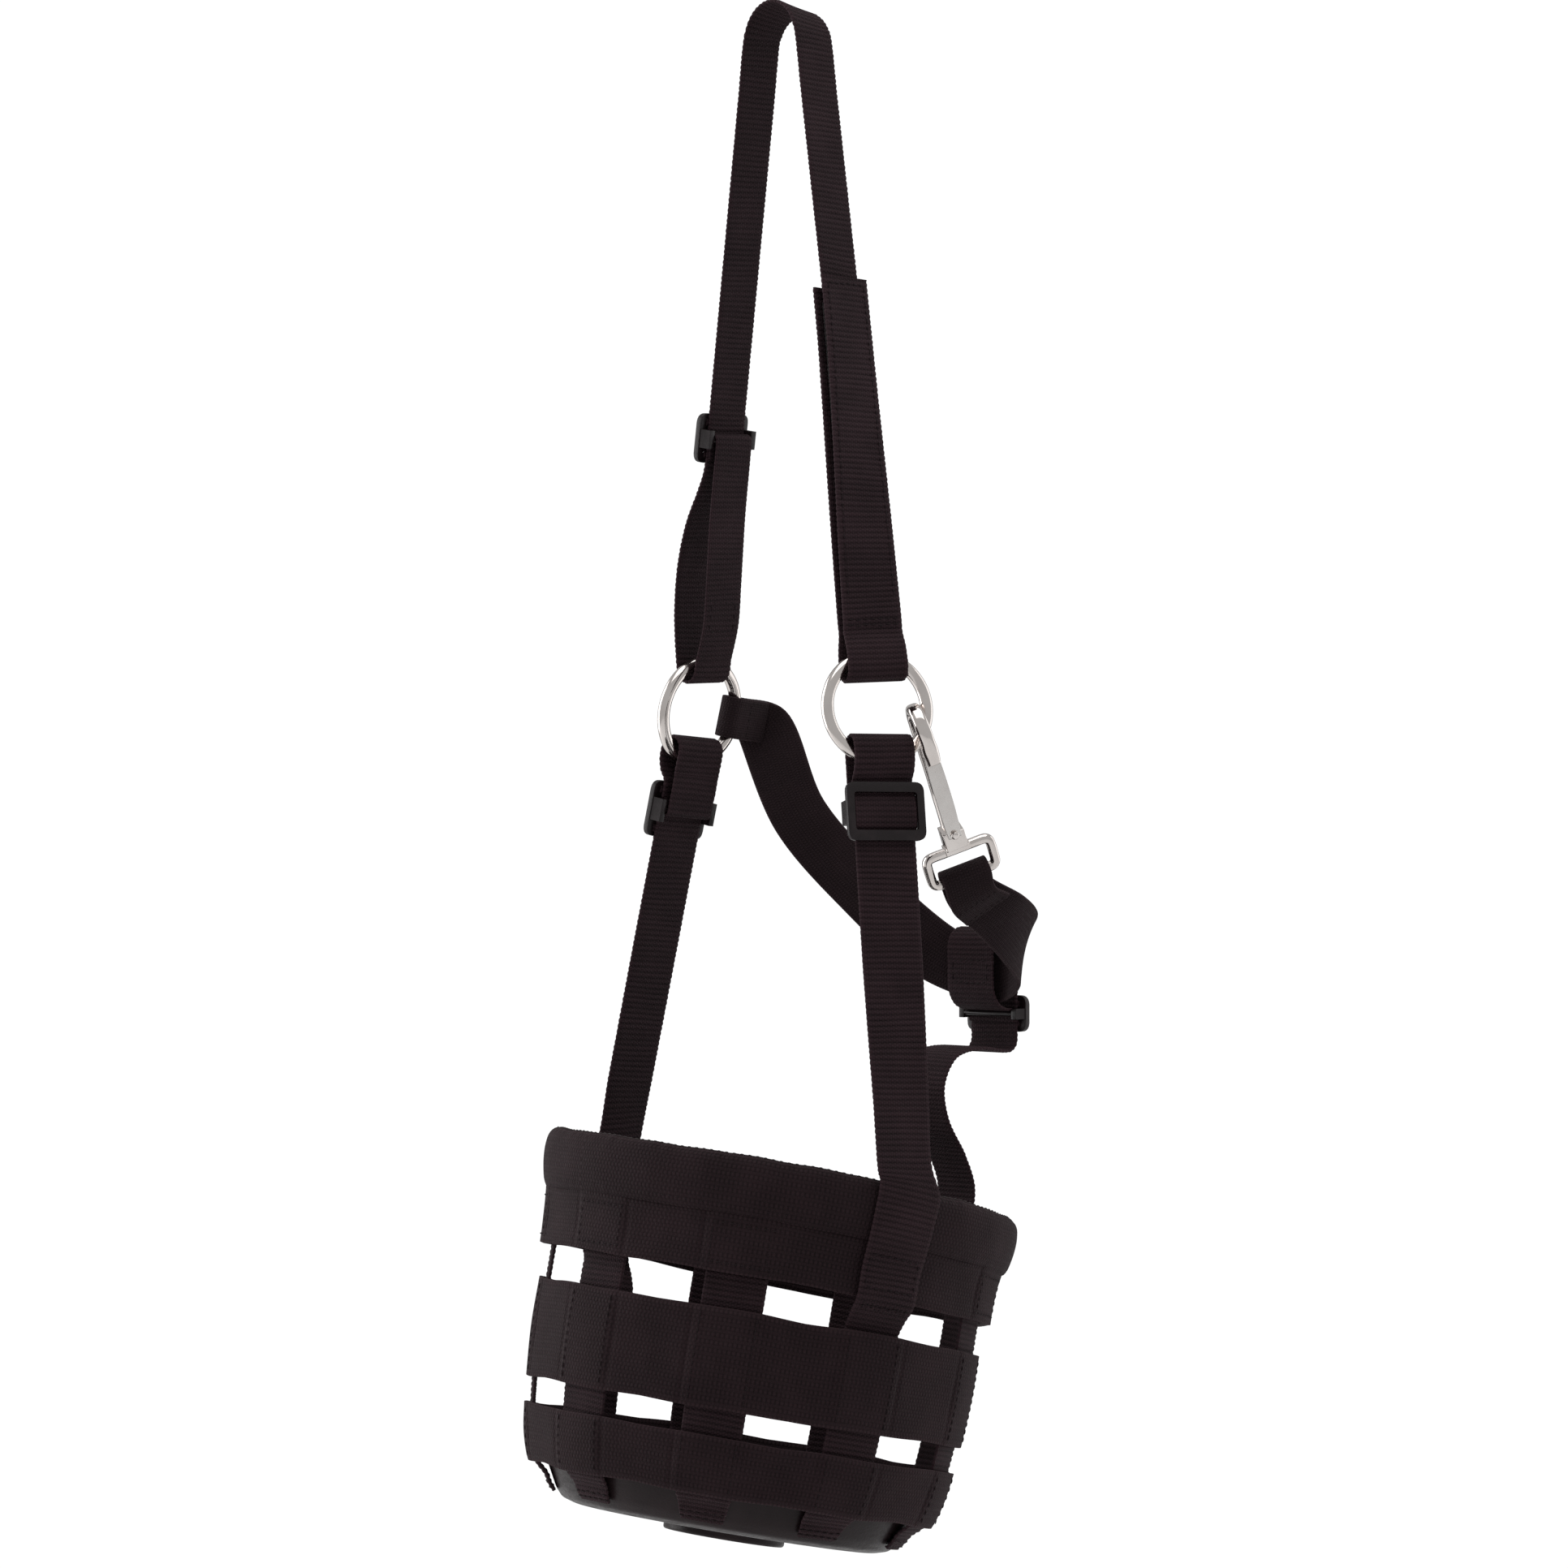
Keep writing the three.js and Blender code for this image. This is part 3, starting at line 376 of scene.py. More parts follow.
class Thread:
    """Gathers stitches and makes one mesh of them."""

    SIDES = 6
    SHAPE = [(-0.5, 0.12), (-0.4, 0.75), (-0.15, 1.0), (0.15, 1.0), (0.4, 0.75), (0.5, 0.12)]
    SINK = [-1.6, -0.9, -0.35, -0.35, -0.9, -1.6]

    def __init__(self):
        self.verts, self.quads, self.ends, self.uv = [], [], [], []

    def stitch(self, point, along, out, length=2.3, radius=0.25):
        side = np.cross(along, out)
        start = len(self.verts)
        for k, (t, r) in enumerate(self.SHAPE):
            centre = point + along * (t * length) + out * (self.SINK[k] * radius)
            for q in range(self.SIDES):
                angle = 2 * math.pi * q / self.SIDES
                self.verts.append(centre + (side * math.cos(angle) + out * math.sin(angle)) * radius * r)
        for k in range(len(self.SHAPE) - 1):
            for q in range(self.SIDES):
                a, b = start + k * self.SIDES + q, start + k * self.SIDES + (q + 1) % self.SIDES
                self.quads.append((a, b, b + self.SIDES, a + self.SIDES))
                u0, u1 = self.SHAPE[k][0] * length, self.SHAPE[k + 1][0] * length
                self.uv.append([(u0, q), (u0, q + 1), (u1, q + 1), (u1, q)])
        self.ends.append([start + q for q in range(self.SIDES)][::-1])
        last = start + (len(self.SHAPE) - 1) * self.SIDES
        self.ends.append([last + q for q in range(self.SIDES)])

    def along(self, strap, start, end, across, side=1, pitch=3.1):
        count = max(1, int(abs(end - start) / pitch))
        for k in range(count):
            s = start + (end - start) * (k + 0.5) / count
            point, along, wide, out = strap.spot(s, across + random.uniform(-0.12, 0.12), side)
            self.stitch(point, along, out, pitch * 0.78)

    def across(self, strap, s, start, end, side=1, pitch=2.9):
        count = max(1, int(abs(end - start) / pitch))
        for k in range(count):
            a = start + (end - start) * (k + 0.5) / count
            point, along, wide, out = strap.spot(s + random.uniform(-0.12, 0.12), a, side)
            self.stitch(point, wide, out, pitch * 0.78)

    def box(self, strap, s0, s1, half, side=1):
        for a in (-half, half):
            self.along(strap, s0, s1, a, side)
        for s in (s0, s1):
            self.across(strap, s, -half, half, side)

    def tack(self, strap, s, half, side=1):
        """A bar-tack: three close rows across."""
        for offset in (-0.9, 0.0, 0.9):
            self.across(strap, s + offset, -half, half, side, 1.9)

    def build(self, name, material):
        return mesh_object(name, self.verts, self.quads, self.ends, material, np.array(self.uv, float))


def put(ob, body, slot, *nodes):
    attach(ob, body)
    if nodes:
        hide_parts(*nodes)
    return ob


def bend(ob, a, b, start, end, slot, *nodes):
    tuple(np.asarray(start) * MM)
    tuple(np.asarray(end) * MM)
    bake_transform(ob)
    if nodes:
        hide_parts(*nodes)
    return ob


# ---------------------------------------------------------------- materials
class Nodes:
    """A small builder of node trees."""

    def __init__(self, name):
        self.material = bpy.data.materials.new(name)
        self.material.use_nodes = True
        self.tree = self.material.node_tree
        self.shader = self.tree.nodes["Principled BSDF"]

    def node(self, kind, **settings):
        n = self.tree.nodes.new("ShaderNode" + kind)
        for key, value in settings.items():
            setattr(n, key, value)
        return n

    def link(self, source, target):
        self.tree.links.new(source, target)

    def put(self, target, value):
        if isinstance(value, bpy.types.NodeSocket):
            self.link(value, target)
        else:
            target.default_value = value

    def math(self, operation, a, b=0.0):
        n = self.node("Math", operation=operation)
        self.put(n.inputs[0], a)
        self.put(n.inputs[1], b)
        return n.outputs[0]

    def mix(self, factor, a, b):
        n = self.node("Mix", data_type="RGBA")
        self.put(n.inputs[0], factor)
        self.put(n.inputs[6], (*a, 1) if isinstance(a, tuple) else a)
        self.put(n.inputs[7], (*b, 1) if isinstance(b, tuple) else b)
        return n.outputs[2]

    def noise(self, scale, detail=3.0, stretch=None):
        coordinates = self.node("TexCoord").outputs["Object"]
        if stretch:
            mapping = self.node("Mapping")
            self.link(coordinates, mapping.inputs[0])
            mapping.inputs["Scale"].default_value = stretch
            coordinates = mapping.outputs[0]
        n = self.node("TexNoise")
        self.link(coordinates, n.inputs["Vector"])
        n.inputs["Scale"].default_value = scale
        n.inputs["Detail"].default_value = detail
        return n.outputs[0]

    def spread(self, value, low, high, to_low=0.0, to_high=1.0):
        n = self.node("MapRange")
        self.put(n.inputs[0], value)
        for k, number in enumerate((low, high, to_low, to_high), 1):
            n.inputs[k].default_value = number
        return n.outputs[0]

    def attribute(self, name):
        return self.node("Attribute", attribute_name=name).outputs["Fac"]

    def weave(self):
        """The along and across distances in millimetres."""
        n = self.node("UVMap", uv_map="Weave")
        parts = self.node("SeparateXYZ")
        self.link(n.outputs[0], parts.inputs[0])
        return parts.outputs[0], parts.outputs[1]

    def bump(self, height, distance, strength=1.0):
        n = self.node("Bump")
        self.link(height, n.inputs["Height"])
        n.inputs["Distance"].default_value = distance
        n.inputs["Strength"].default_value = strength
        self.link(n.outputs[0], self.shader.inputs["Normal"])

    def set(self, **numbers):
        for key, value in numbers.items():
            self.shader.inputs[key.replace("_", " ")].default_value = value


def fabric(name, dark, light, yarn, pick, sheen=0.03, rough=0.72, relief=0.00022, rib_shade_share=0.5):
    """Woven nylon: rows of short yarn floats, each row set off by half a float from the last."""
    m = Nodes(name)
    u, v = m.weave()
    row = m.math("FLOOR", m.math("DIVIDE", v, pick))
    shift = m.math("ADD", m.math("DIVIDE", u, yarn), m.math("MULTIPLY", row, 0.5))
    lengthwise = m.math("ABSOLUTE", m.math("SINE", m.math("MULTIPLY", shift, math.pi)))
    sideways = m.math("ABSOLUTE", m.math("SINE", m.math("MULTIPLY", m.math("DIVIDE", v, pick), math.pi)))
    cloth = m.math("MULTIPLY", m.math("POWER", lengthwise, 0.6), m.math("POWER", sideways, 0.5))
    grain = m.noise(1400.0, 2.0)
    height = m.math("ADD", cloth, m.math("MULTIPLY", grain, 0.35))
    rib = m.attribute("rib")
    worn = m.spread(m.noise(55.0, 4.0), 0.4, 0.75)
    edge = m.spread(m.attribute("edge"), 0.86, 1.0, 0.0, 0.35)
    # Painted shade: the colour is darker in the rib valleys and between the yarn floats, where shade falls; the worn
    # patches and lighter edges are wear.
    shade_and_wear = m.math("ADD", m.math("MULTIPLY", rib, rib_shade_share), m.math("MULTIPLY", cloth, 0.3))
    shade_and_wear = m.math("ADD", m.math("ADD", shade_and_wear, m.math("MULTIPLY", worn, 0.25)), edge)
    lint = m.spread(m.noise(2600.0, 1.0), 0.68, 0.76, 0.0, 0.10)
    colour = m.mix(m.math("MINIMUM", shade_and_wear, 1.0), dark, light)
    m.link(m.mix(lint, colour, (0.11, 0.10, 0.095)), m.shader.inputs["Base Color"])
    m.link(m.spread(grain, 0.3, 0.7, rough - 0.07, rough + 0.1), m.shader.inputs["Roughness"])
    m.set(Sheen_Weight=sheen, Sheen_Roughness=0.5, Sheen_Tint=(0.95, 0.75, 0.78, 1), Specular_IOR_Level=0.12)
    m.bump(height, relief)
    return m.material


def rubber_material():
    m = Nodes("moulded_rubber")
    cloudy = m.noise(38.0, 4.0)
    grain = m.noise(900.0, 3.0)
    colour = m.mix(m.spread(cloudy, 0.35, 0.7), (0.013, 0.0075, 0.0085), (0.026, 0.0165, 0.018))
    m.link(colour, m.shader.inputs["Base Color"])
    scuffs = m.spread(m.noise(120.0, 5.0, (1.0, 1.0, 6.0)), 0.5, 0.75, 0.0, 0.16)
    m.link(m.math("ADD", m.spread(grain, 0.3, 0.7, 0.26, 0.38), scuffs), m.shader.inputs["Roughness"])
    m.set(Specular_IOR_Level=0.2)
    m.bump(grain, 0.00012, 0.7)
    return m.material


def plastic_material():
    m = Nodes("slider_plastic")
    grain = m.noise(1500.0, 2.0)
    worn = m.spread(m.noise(160.0, 4.0), 0.45, 0.75)
    m.link(m.mix(worn, (0.010, 0.0055, 0.0065), (0.022, 0.0135, 0.0155)), m.shader.inputs["Base Color"])
    m.link(m.spread(grain, 0.3, 0.7, 0.3, 0.44), m.shader.inputs["Roughness"])
    m.set(Specular_IOR_Level=0.4)
    m.bump(grain, 0.00005, 0.6)
    return m.material


def nickel_material(name, base, tint, rough):
    m = Nodes(name)
    cloudy = m.noise(90.0, 4.0)
    scratches = m.noise(700.0, 3.0, (1.0, 0.12, 1.0))
    m.link(m.mix(m.spread(cloudy, 0.3, 0.7), base, tint), m.shader.inputs["Base Color"])
    m.link(m.spread(scratches, 0.3, 0.75, rough, rough + 0.12), m.shader.inputs["Roughness"])
    m.set(Metallic=1.0)
    m.bump(scratches, 0.00003, 0.5)
    return m.material


def thread_material(name, dark, light):
    m = Nodes(name)
    u, v = m.weave()
    turn = m.math("ADD", m.math("DIVIDE", u, 0.55), m.math("DIVIDE", v, 6.0))
    twist = m.math("SINE", m.math("MULTIPLY", turn, 6.283))
    # Painted shade: the colour follows the twist, darker in its grooves where shade falls.
    m.link(m.mix(m.spread(twist, -1.0, 1.0), dark, light), m.shader.inputs["Base Color"])
    m.set(Roughness=0.65, Sheen_Weight=0.03, Specular_IOR_Level=0.12)
    m.bump(twist, 0.00008, 0.8)
    return m.material


def tape_material():
    m = Nodes("hook_tape")
    hooks = m.noise(2200.0, 2.0)
    # Painted shade: the colour follows the hook relief, darker between the hooks.
    colour = m.mix(m.spread(hooks, 0.35, 0.65), (0.008, 0.007, 0.007), (0.035, 0.031, 0.031))
    m.link(colour, m.shader.inputs["Base Color"])
    m.set(Roughness=0.8, Sheen_Weight=0.4)
    m.bump(hooks, 0.0004)
    return m.material


# The first colour of each fabric is painted shade for the rib valleys and weave gaps; the second is the crests.
RIBBED = fabric("ribbed_webbing", (0.0034, 0.0016, 0.0021), (0.043, 0.0235, 0.0285), 1.3, 1.05, rib_shade_share=0.6)
BANDED = fabric("band_webbing", (0.0070, 0.0036, 0.0044), (0.040, 0.0222, 0.0262), FINE, 1.5, rib_shade_share=0.3)
THROAT = fabric("throat_webbing", (0.0090, 0.0050, 0.0060), (0.042, 0.0250, 0.0290), 1.1, 1.3, rib_shade_share=0.25)
THREAD = thread_material("bonded_thread", (0.008, 0.0045, 0.0055), (0.030, 0.0185, 0.0215))
EDGE_THREAD = thread_material("edge_thread", (0.030, 0.024, 0.025), (0.085, 0.072, 0.072))
RUBBER = rubber_material()
PLASTIC = plastic_material()
NICKEL = nickel_material("nickel_plate", (0.80, 0.735, 0.70), (0.90, 0.845, 0.81), 0.08)
SPRING = nickel_material("spring_plate", (0.70, 0.665, 0.64), (0.80, 0.77, 0.745), 0.2)
TAPE = tape_material()

# ---------------------------------------------------------------- crown strap, over the poll
FAR_LOOP_Z = WIRE_TOP - wire_drop(NARROW)


def arch_rows():
    near_end, far_end = near.place(0, ARCH_END), far.place(0, ARCH_END)
    middle = (near_end + far_end) / 2
    outward = unit(near_end - far_end)
    across = vec(-outward[1], outward[0], 0)
    lean = math.atan(SPREAD_SLOPE)
    rows = []
    for angle in np.linspace(lean, math.pi - lean, 15)[1:-1]:
        radial = outward * math.cos(angle) + vec(0, 0, math.sin(angle))
        wide = unit(across + vec(0, 0, -math.tan(math.radians(10)) * math.sin(angle)))
        centre = vec(middle[0], middle[1], PLY / 2 - ARCH_RADIUS) + radial * ARCH_RADIUS
        rows.append([centre - wide * NARROW / 2, centre - radial * 0.25, centre + wide * NARROW / 2])
    return rows


crown_down = split([(0, ARCH_END), (0, CROWN_SLIDER_Z - 12)], 25)[:-1]
crown_down += [(0, CROWN_SLIDER_Z - 12), (2.5, -190), (7.6, -204), (10.3, -222), (9.4, -242)]
crown_down += [(LOOP + 0.2, FAR_LOOP_Z)]
crown_down += arc((0, FAR_LOOP_Z), LOOP, 0, -180, 6)[1:] + [(-LOOP, FAR_LOOP_Z + 5)]
crown_rows = rows_from(near.place, split([(0, -238), (0, ARCH_END)], 25), NARROW)
crown_rows += arch_rows() + [row[::-1] for row in rows_from(far.place, crown_down, NARROW)]
crown = Strap(crown_rows, PLY, CROWN_RIB)
put(crown.build("crown_webbing", RIBBED), "headstall", "ribbed_webbing", "crown_strap")

return_path = [(-LOOP - 0.1, FAR_LOOP_Z + 3.4), (-7.6, -243), (-7.0, -226), (-5.7, -200), (-5.2, CROWN_SLIDER_Z)]
return_path += arc((BAR_OUT, CROWN_SLIDER_Z), WRAP_RADIUS, 180, 0, 6)[1:]
return_path += [(BAR_OUT + WRAP_RADIUS - 0.15, CROWN_SLIDER_Z - 4)]
return_path += [(BAR_OUT + WRAP_RADIUS - 0.25, CROWN_SLIDER_Z - 8)]
crown_back = Strap(rows_from(far.place, return_path, NARROW), 1.0, CROWN_RIB, 0.2)
crown_back_start, crown_back_end = far.place(-6, -250), far.place(-6, -180)
bend(
    crown_back.build("crown_end_webbing", RIBBED), "headstall", "crown_slider",
    crown_back_start, crown_back_end, "ribbed_webbing", "crown_strap_return",
)
sewn = Thread()
loop_at = crown_back.find(far.place(-7.6, -243))
for face in BOTH_FACES:
    sewn.box(crown_back, loop_at - 3, loop_at + 9, 6.6, face)
bend(
    sewn.build("crown_end_stitches", THREAD), "headstall", "crown_slider",
    crown_back_start, crown_back_end, "ribbed_webbing",
)

# ---------------------------------------------------------------- breakaway billet
PAD = 0.5
PAD_OUT = PLY / 2 + 0.3 + PAD / 2
PANEL_OUT = PAD_OUT + PAD / 2 + 0.3 + PLY / 2
BILLET_LOOP_Z = WIRE_TOP - wire_drop(WIDE)
CREASE = -250
billet_path = split([(PANEL_OUT, -110), (PANEL_OUT, CREASE + 3)], 24)
billet_path += [(PANEL_OUT - 0.25, CREASE), (LOOP - 0.6, CREASE - 7)]
billet_path += arc((0, BILLET_LOOP_Z), LOOP, 0, -180, 6)
billet_path += [(0.6 - LOOP, CREASE - 7), (0.25 - PANEL_OUT, CREASE)]
billet_path += split([(-PANEL_OUT, CREASE + 3), (-PANEL_OUT, -114)], 24)
billet = Strap(rows_from(near.place, billet_path, WIDE), PLY, 2.13)
put(billet.build("billet_webbing", RIBBED), "headstall", "ribbed_webbing", "breakaway_billet")
sewn = Thread()
for out in (PANEL_OUT, -PANEL_OUT):
    s = billet.find(near.place(out, CREASE + 2.5))
    for offset in (0, 2.2):
        for face in BOTH_FACES:
            sewn.across(billet, s + offset * (1 if out < 0 else -1), -11, 11, face)
for out, top in ((PANEL_OUT, -112.5), (-PANEL_OUT, -116.5)):
    s0, s1 = sorted((billet.find(near.place(out, top)), billet.find(near.place(out, -236))))
    for face in BOTH_FACES:
        sewn.along(billet, s0, s1, 9.9, face)
        sewn.along(billet, s0, s1, -9.9, face)
        sewn.across(billet, s0 if out > 0 else s1, -9.9, 9.9, face)
put(sewn.build("billet_stitches", THREAD), "headstall", "ribbed_webbing")
for name, side in (("front", 1), ("back", -1)):
    path = split([(side * PAD_OUT, -120), (side * PAD_OUT, -234)], 20)
    tape = Strap(rows_from(near.place, path, NARROW - 1), PAD, 1.6, 0.05)
    put(tape.build(f"hook_tape_{name}", TAPE, 0.3), "headstall", "hook_tape", f"hook_pad_{name}")

# ---------------------------------------------------------------- cheek straps
STRIP = -0.9 - GAP - PLY / 2


def strip_path(start, end=123):
    depths = list(np.arange(start, end, 12)) + [end]
    path = [(wall(d) + STRIP, -d) for d in depths]
    return path + [(wall(128.5) + STRIP - 0.4, -128.5), (73.6, -132.4), (71.6, -135.8), (69.4, -138.3)]


def cheek_path(slider_top):
    loop_z = WIRE_BOTTOM + wire_drop(WIDE)
    upper = [(-LOOP, loop_z - 9)] + arc((0, loop_z), LOOP, 180, 0, 6)
    upper += [(LOOP - 0.1, WIRE_BOTTOM - 0.6), (3.1, slider_top + 3.8), (0.9, slider_top + 1.4), (0.1, slider_top)]
    return upper + split([(0, CHEEK_SLIDER_Z - 10), (0, -456)], 24)


def narrowed(rows, count, share):
    """The last rows pulled in towards the middle line."""
    for k in range(1, count + 1):
        left, middle, right = rows[-k]
        pull = share * (count + 1 - k) / count
        rows[-k] = [left + (middle - left) * pull, middle, right + (middle - right) * pull]
    return rows


cheeks = {}
for side, line, angle in (("near", near_cheek, NEAR_CHEEK), ("far", far_cheek, FAR_CHEEK)):
    over_rim = 4.6 + GAP + PLY / 2 + 0.25
    over_band = 3.2 + GAP + PLY / 2
    lower = [
        (wall(1) + over_rim, -1), (wall(12) + over_rim, -12), (wall(22) + over_rim - 0.2, -22),
        (wall(33) + over_band + 0.3, -33), (wall(45) + over_band, -45), (wall(51) + 0.6, -51),
        (wall(57) + STRIP, -56.8),
    ] + strip_path(63)
    rows = rows_from(line.place, cheek_path(CHEEK_SLIDER_Z + 11.5), WIDE) + rows_from(hung(angle), lower, WIDE)
    strap = Strap(narrowed(rows, 3, 0.16), PLY, RIB)
    cheeks[side] = strap
    put(strap.build(f"{side}_cheek_webbing", RIBBED), "muzzle", "ribbed_webbing", f"{side}_cheek_strap")
    back = BAR_OUT - WRAP_RADIUS
    top = WIRE_BOTTOM + wire_drop(WIDE) - 9.6
    path = [(-LOOP, top + 2.2), (back - 0.2, top - 7), (back, CHEEK_SLIDER_Z + 5)]
    path += arc((BAR_OUT, CHEEK_SLIDER_Z), WRAP_RADIUS, 180, 360, 6)
    path += [(BAR_OUT + WRAP_RADIUS - 0.1, CHEEK_SLIDER_Z + 5)]
    end = Strap(rows_from(line.place, path, WIDE), WRAP, RIB, 0.2)
    start_at, end_at = line.place(-5, top - 1), line.place(-5, CHEEK_SLIDER_Z + 4)
    bend(
        end.build(f"{side}_cheek_end_webbing", RIBBED), "muzzle", f"{side}_cheek_slider",
        start_at, end_at, "ribbed_webbing", f"{side}_cheek_return",
    )
    sewn = Thread()
    upper_row, lower_row, tack_row = (
        strap.find(hung(angle)(wall(depth) + over_band, -depth)) for depth in (27.5, 40.0, 47.5)
    )
    for s in (upper_row, lower_row):
        for face in BOTH_FACES:
            sewn.across(strap, s, -10.8, 10.8, face)
    for face in BOTH_FACES:
        sewn.tack(strap, tack_row, 10.5, face)
    for across in (-10.8, 10.8):
        for face in BOTH_FACES:
            sewn.along(strap, upper_row, lower_row, across, face)
    put(sewn.build(f"{side}_cheek_stitches", THREAD), "muzzle", "ribbed_webbing")

# ---------------------------------------------------------------- vertical strips
strips = {}
for name, angle in STRIP_ANGLES.items():
    rows = rows_from(hung(angle), strip_path(26), WIDE)
    strap = Strap(narrowed(rows, 3, 0.16), PLY, RIB)
    strips[angle] = strap
    put(strap.build(f"{name}_strip_webbing", RIBBED), "muzzle", "ribbed_webbing", f"{name}_strip")
strips[NEAR_CHEEK], strips[FAR_CHEEK] = cheeks["near"], cheeks["far"]

sewn = Thread()
for angle, strap in strips.items():
    for back in (2.0, 4.4):
        for face in BOTH_FACES:
            sewn.across(strap, strap.length - back, -9.3, 9.3, face)
put(sewn.build("foot_stitches", THREAD), "muzzle", "ribbed_webbing")

# ---------------------------------------------------------------- bands
AROUND = 1256  # points round each band
HALF_PITCH = math.radians(20)  # half the turn between neighbouring strips
theta = np.arange(AROUND) * 2 * math.pi / AROUND
theta_full = np.append(theta, FULL_TURN)
STRIP_HALF = WIDE / 2 / BASKET_RADIUS


def from_strip(angles, which):
    """Signed turn from the nearest of the strips, in radians."""
    turns = np.radians(np.array(which, float))
    gaps = (angles[:, None] - turns[None] + math.pi) % (2 * math.pi) - math.pi
    return gaps[np.arange(len(angles)), np.abs(gaps).argmin(1)]


def swell(angles, which, seed, slack):
    """How far a band stands out over the strips behind it and draws in between them."""
    gap = np.abs(from_strip(angles, which))
    over = np.clip((STRIP_HALF + 0.02 - gap) / 0.05, 0, 1)
    over = over * over * (3 - 2 * over)
    between = np.clip((gap - STRIP_HALF) / (HALF_PITCH - STRIP_HALF), 0, 1)
    crease = np.exp(-(((gap - STRIP_HALF - 0.022) / 0.012) ** 2))
    rng = np.random.default_rng(seed)
    ripple = sum(
        rng.uniform(0.4, 1.0) * np.sin(k * angles + rng.uniform(0, 6.283)) / k**0.5 for k in (7, 13, 19, 29, 41)
    )
    return 0.45 * over - slack * np.sin(between * math.pi / 2) - 0.42 * crease + 0.2 * ripple * between


def band(name, span, outer, inner, which, seed, slack, thick_edge=0.35, sag=0.0):
    top, bottom = span
    depth = [top + thick_edge * 0.3 + (bottom - top - thick_edge * 0.6) * t for t in np.linspace(0, 1, 12)]
    outline = [(d, 1.0) for d in depth] + [(bottom, 0.5), (bottom, -0.5)]
    outline += [(d, -1.0) for d in depth[::-1]] + [(top, -0.5), (top, 0.5)]
    middle, half = (outer + inner) / 2, (outer - inner) / 2
    rng = np.random.default_rng(seed + 50)
    points = np.zeros((AROUND, len(outline), 3))
    rib = np.zeros((AROUND, len(outline)))
    swelling = swell(theta, which, seed, slack)
    waves = [(rng.uniform(0.3, 1), k, rng.uniform(0, 6.283)) for k in (3, 5, 8, 12)]
    wander = sum(a * np.sin(k * theta + p) for a, k, p in waves)
    scallop = np.clip((np.abs(from_strip(theta, which)) - STRIP_HALF) / 0.2, 0, 1)
    for j, (d, h) in enumerate(outline):
        f = (d - top) / (bottom - top)
        phase = theta * BASKET_RADIUS / FINE + 0.06 * np.sin(9 * theta + 4 * f)
        rib[:, j] = (0.5 + 0.5 * np.cos(2 * math.pi * phase)) ** 0.7
        relief = 0.05 * (1 - rib[:, j]) if abs(h) > 0.9 else 0.0
        lift = swelling * (0.75 + 0.25 * math.cos(2 * math.pi * (f - 0.5))) + 0.12 * wander * (f - 0.5)
        radius = wall(d) + middle + lift + h * (half - relief)
        shift = 0.22 * wander + sag * scallop * (1 if f < 0.5 else -1) * abs(2 * f - 1)
        points[:, j] = to_world(np.stack([radius * np.cos(theta), radius * np.sin(theta), -(d + shift)], 1))
    edge = np.array([min(1.0, 0.8 + 0.2 * max(0, 1 - min(d - top, bottom - d) / 1.5)) for d, h in outline])
    # rib also drives painted shade in the fabric colour, darker in the rib valleys.
    values = {"rib": rib, "edge": np.broadcast_to(edge, rib.shape)}
    return tube(name, points, BANDED, theta_full * BASKET_RADIUS, [d for d, h in outline], values, True), swelling


WITHOUT_CHEEKS = sorted(STRIP_ANGLES.values())
VERTICALS = sorted([*WITHOUT_CHEEKS, NEAR_CHEEK, FAR_CHEEK])


def ring_stitches(sewn, radius, depth, lift, pitch=3.3, skip=(), swelling=None, skip_half=0.155):
    """A row of stitches round the basket at one depth, on the outside, or on the inside when lift is negative."""
    count = int(FULL_TURN * BASKET_RADIUS / pitch)
    origin = to_world(vec(0, 0, 0))
    for k in range(count):
        turn = 2 * math.pi * (k + 0.5) / count
        if skip and abs(from_strip(np.array([turn]), skip)[0]) < skip_half:
            continue
        swollen = 0.0 if swelling is None else float(np.interp(turn, theta, swelling))
        r = radius + swollen + lift
        out = vec(math.cos(turn), math.sin(turn), 0) * math.copysign(1, lift)
        along = vec(-math.sin(turn), math.cos(turn), 0)
        at = vec(r * math.cos(turn), r * math.sin(turn), -depth + random.uniform(-0.1, 0.1))
        sewn.stitch(to_world(at), to_world(along) - origin, to_world(out) - origin, pitch * 0.74)


def upright_stitches(sewn, angle, across, top, bottom, offset, swelling, pitch=3.0):
    turn = math.radians(angle) + across / BASKET_RADIUS
    count = max(1, int((bottom - top) / pitch))
    origin = to_world(vec(0, 0, 0))
    for k in range(count):
        depth = top + (bottom - top) * (k + 0.5) / count
        r = wall(depth) + offset + float(np.interp(turn % (2 * math.pi), theta, swelling)) * 0.9
        at = to_world(vec(r * math.cos(turn), r * math.sin(turn), -depth))
        out = to_world(vec(math.cos(turn), math.sin(turn), 0)) - origin
        down = to_world(vec(0, 0, -1)) - origin
        sewn.stitch(at, down, out, pitch * 0.78)


top_band, top_swell = band("top_band_webbing", TOP_BAND, 3.1, -0.85, WITHOUT_CHEEKS, 3, 1.0, 0.8, 0.3)
put(top_band, "muzzle", "band_webbing", "top_band")
middle_band, middle_swell = band("middle_band_webbing", MID_BAND, 0.85, -0.85, VERTICALS, 5, 1.5, 0.4, 0.4)
put(middle_band, "muzzle", "band_webbing", "middle_band")
lower_band, lower_swell = band("lower_band_webbing", LOW_BAND, 0.85, -0.75, VERTICALS, 8, 1.4, 0.4, 0.5)
put(lower_band, "muzzle", "band_webbing", "lower_band")

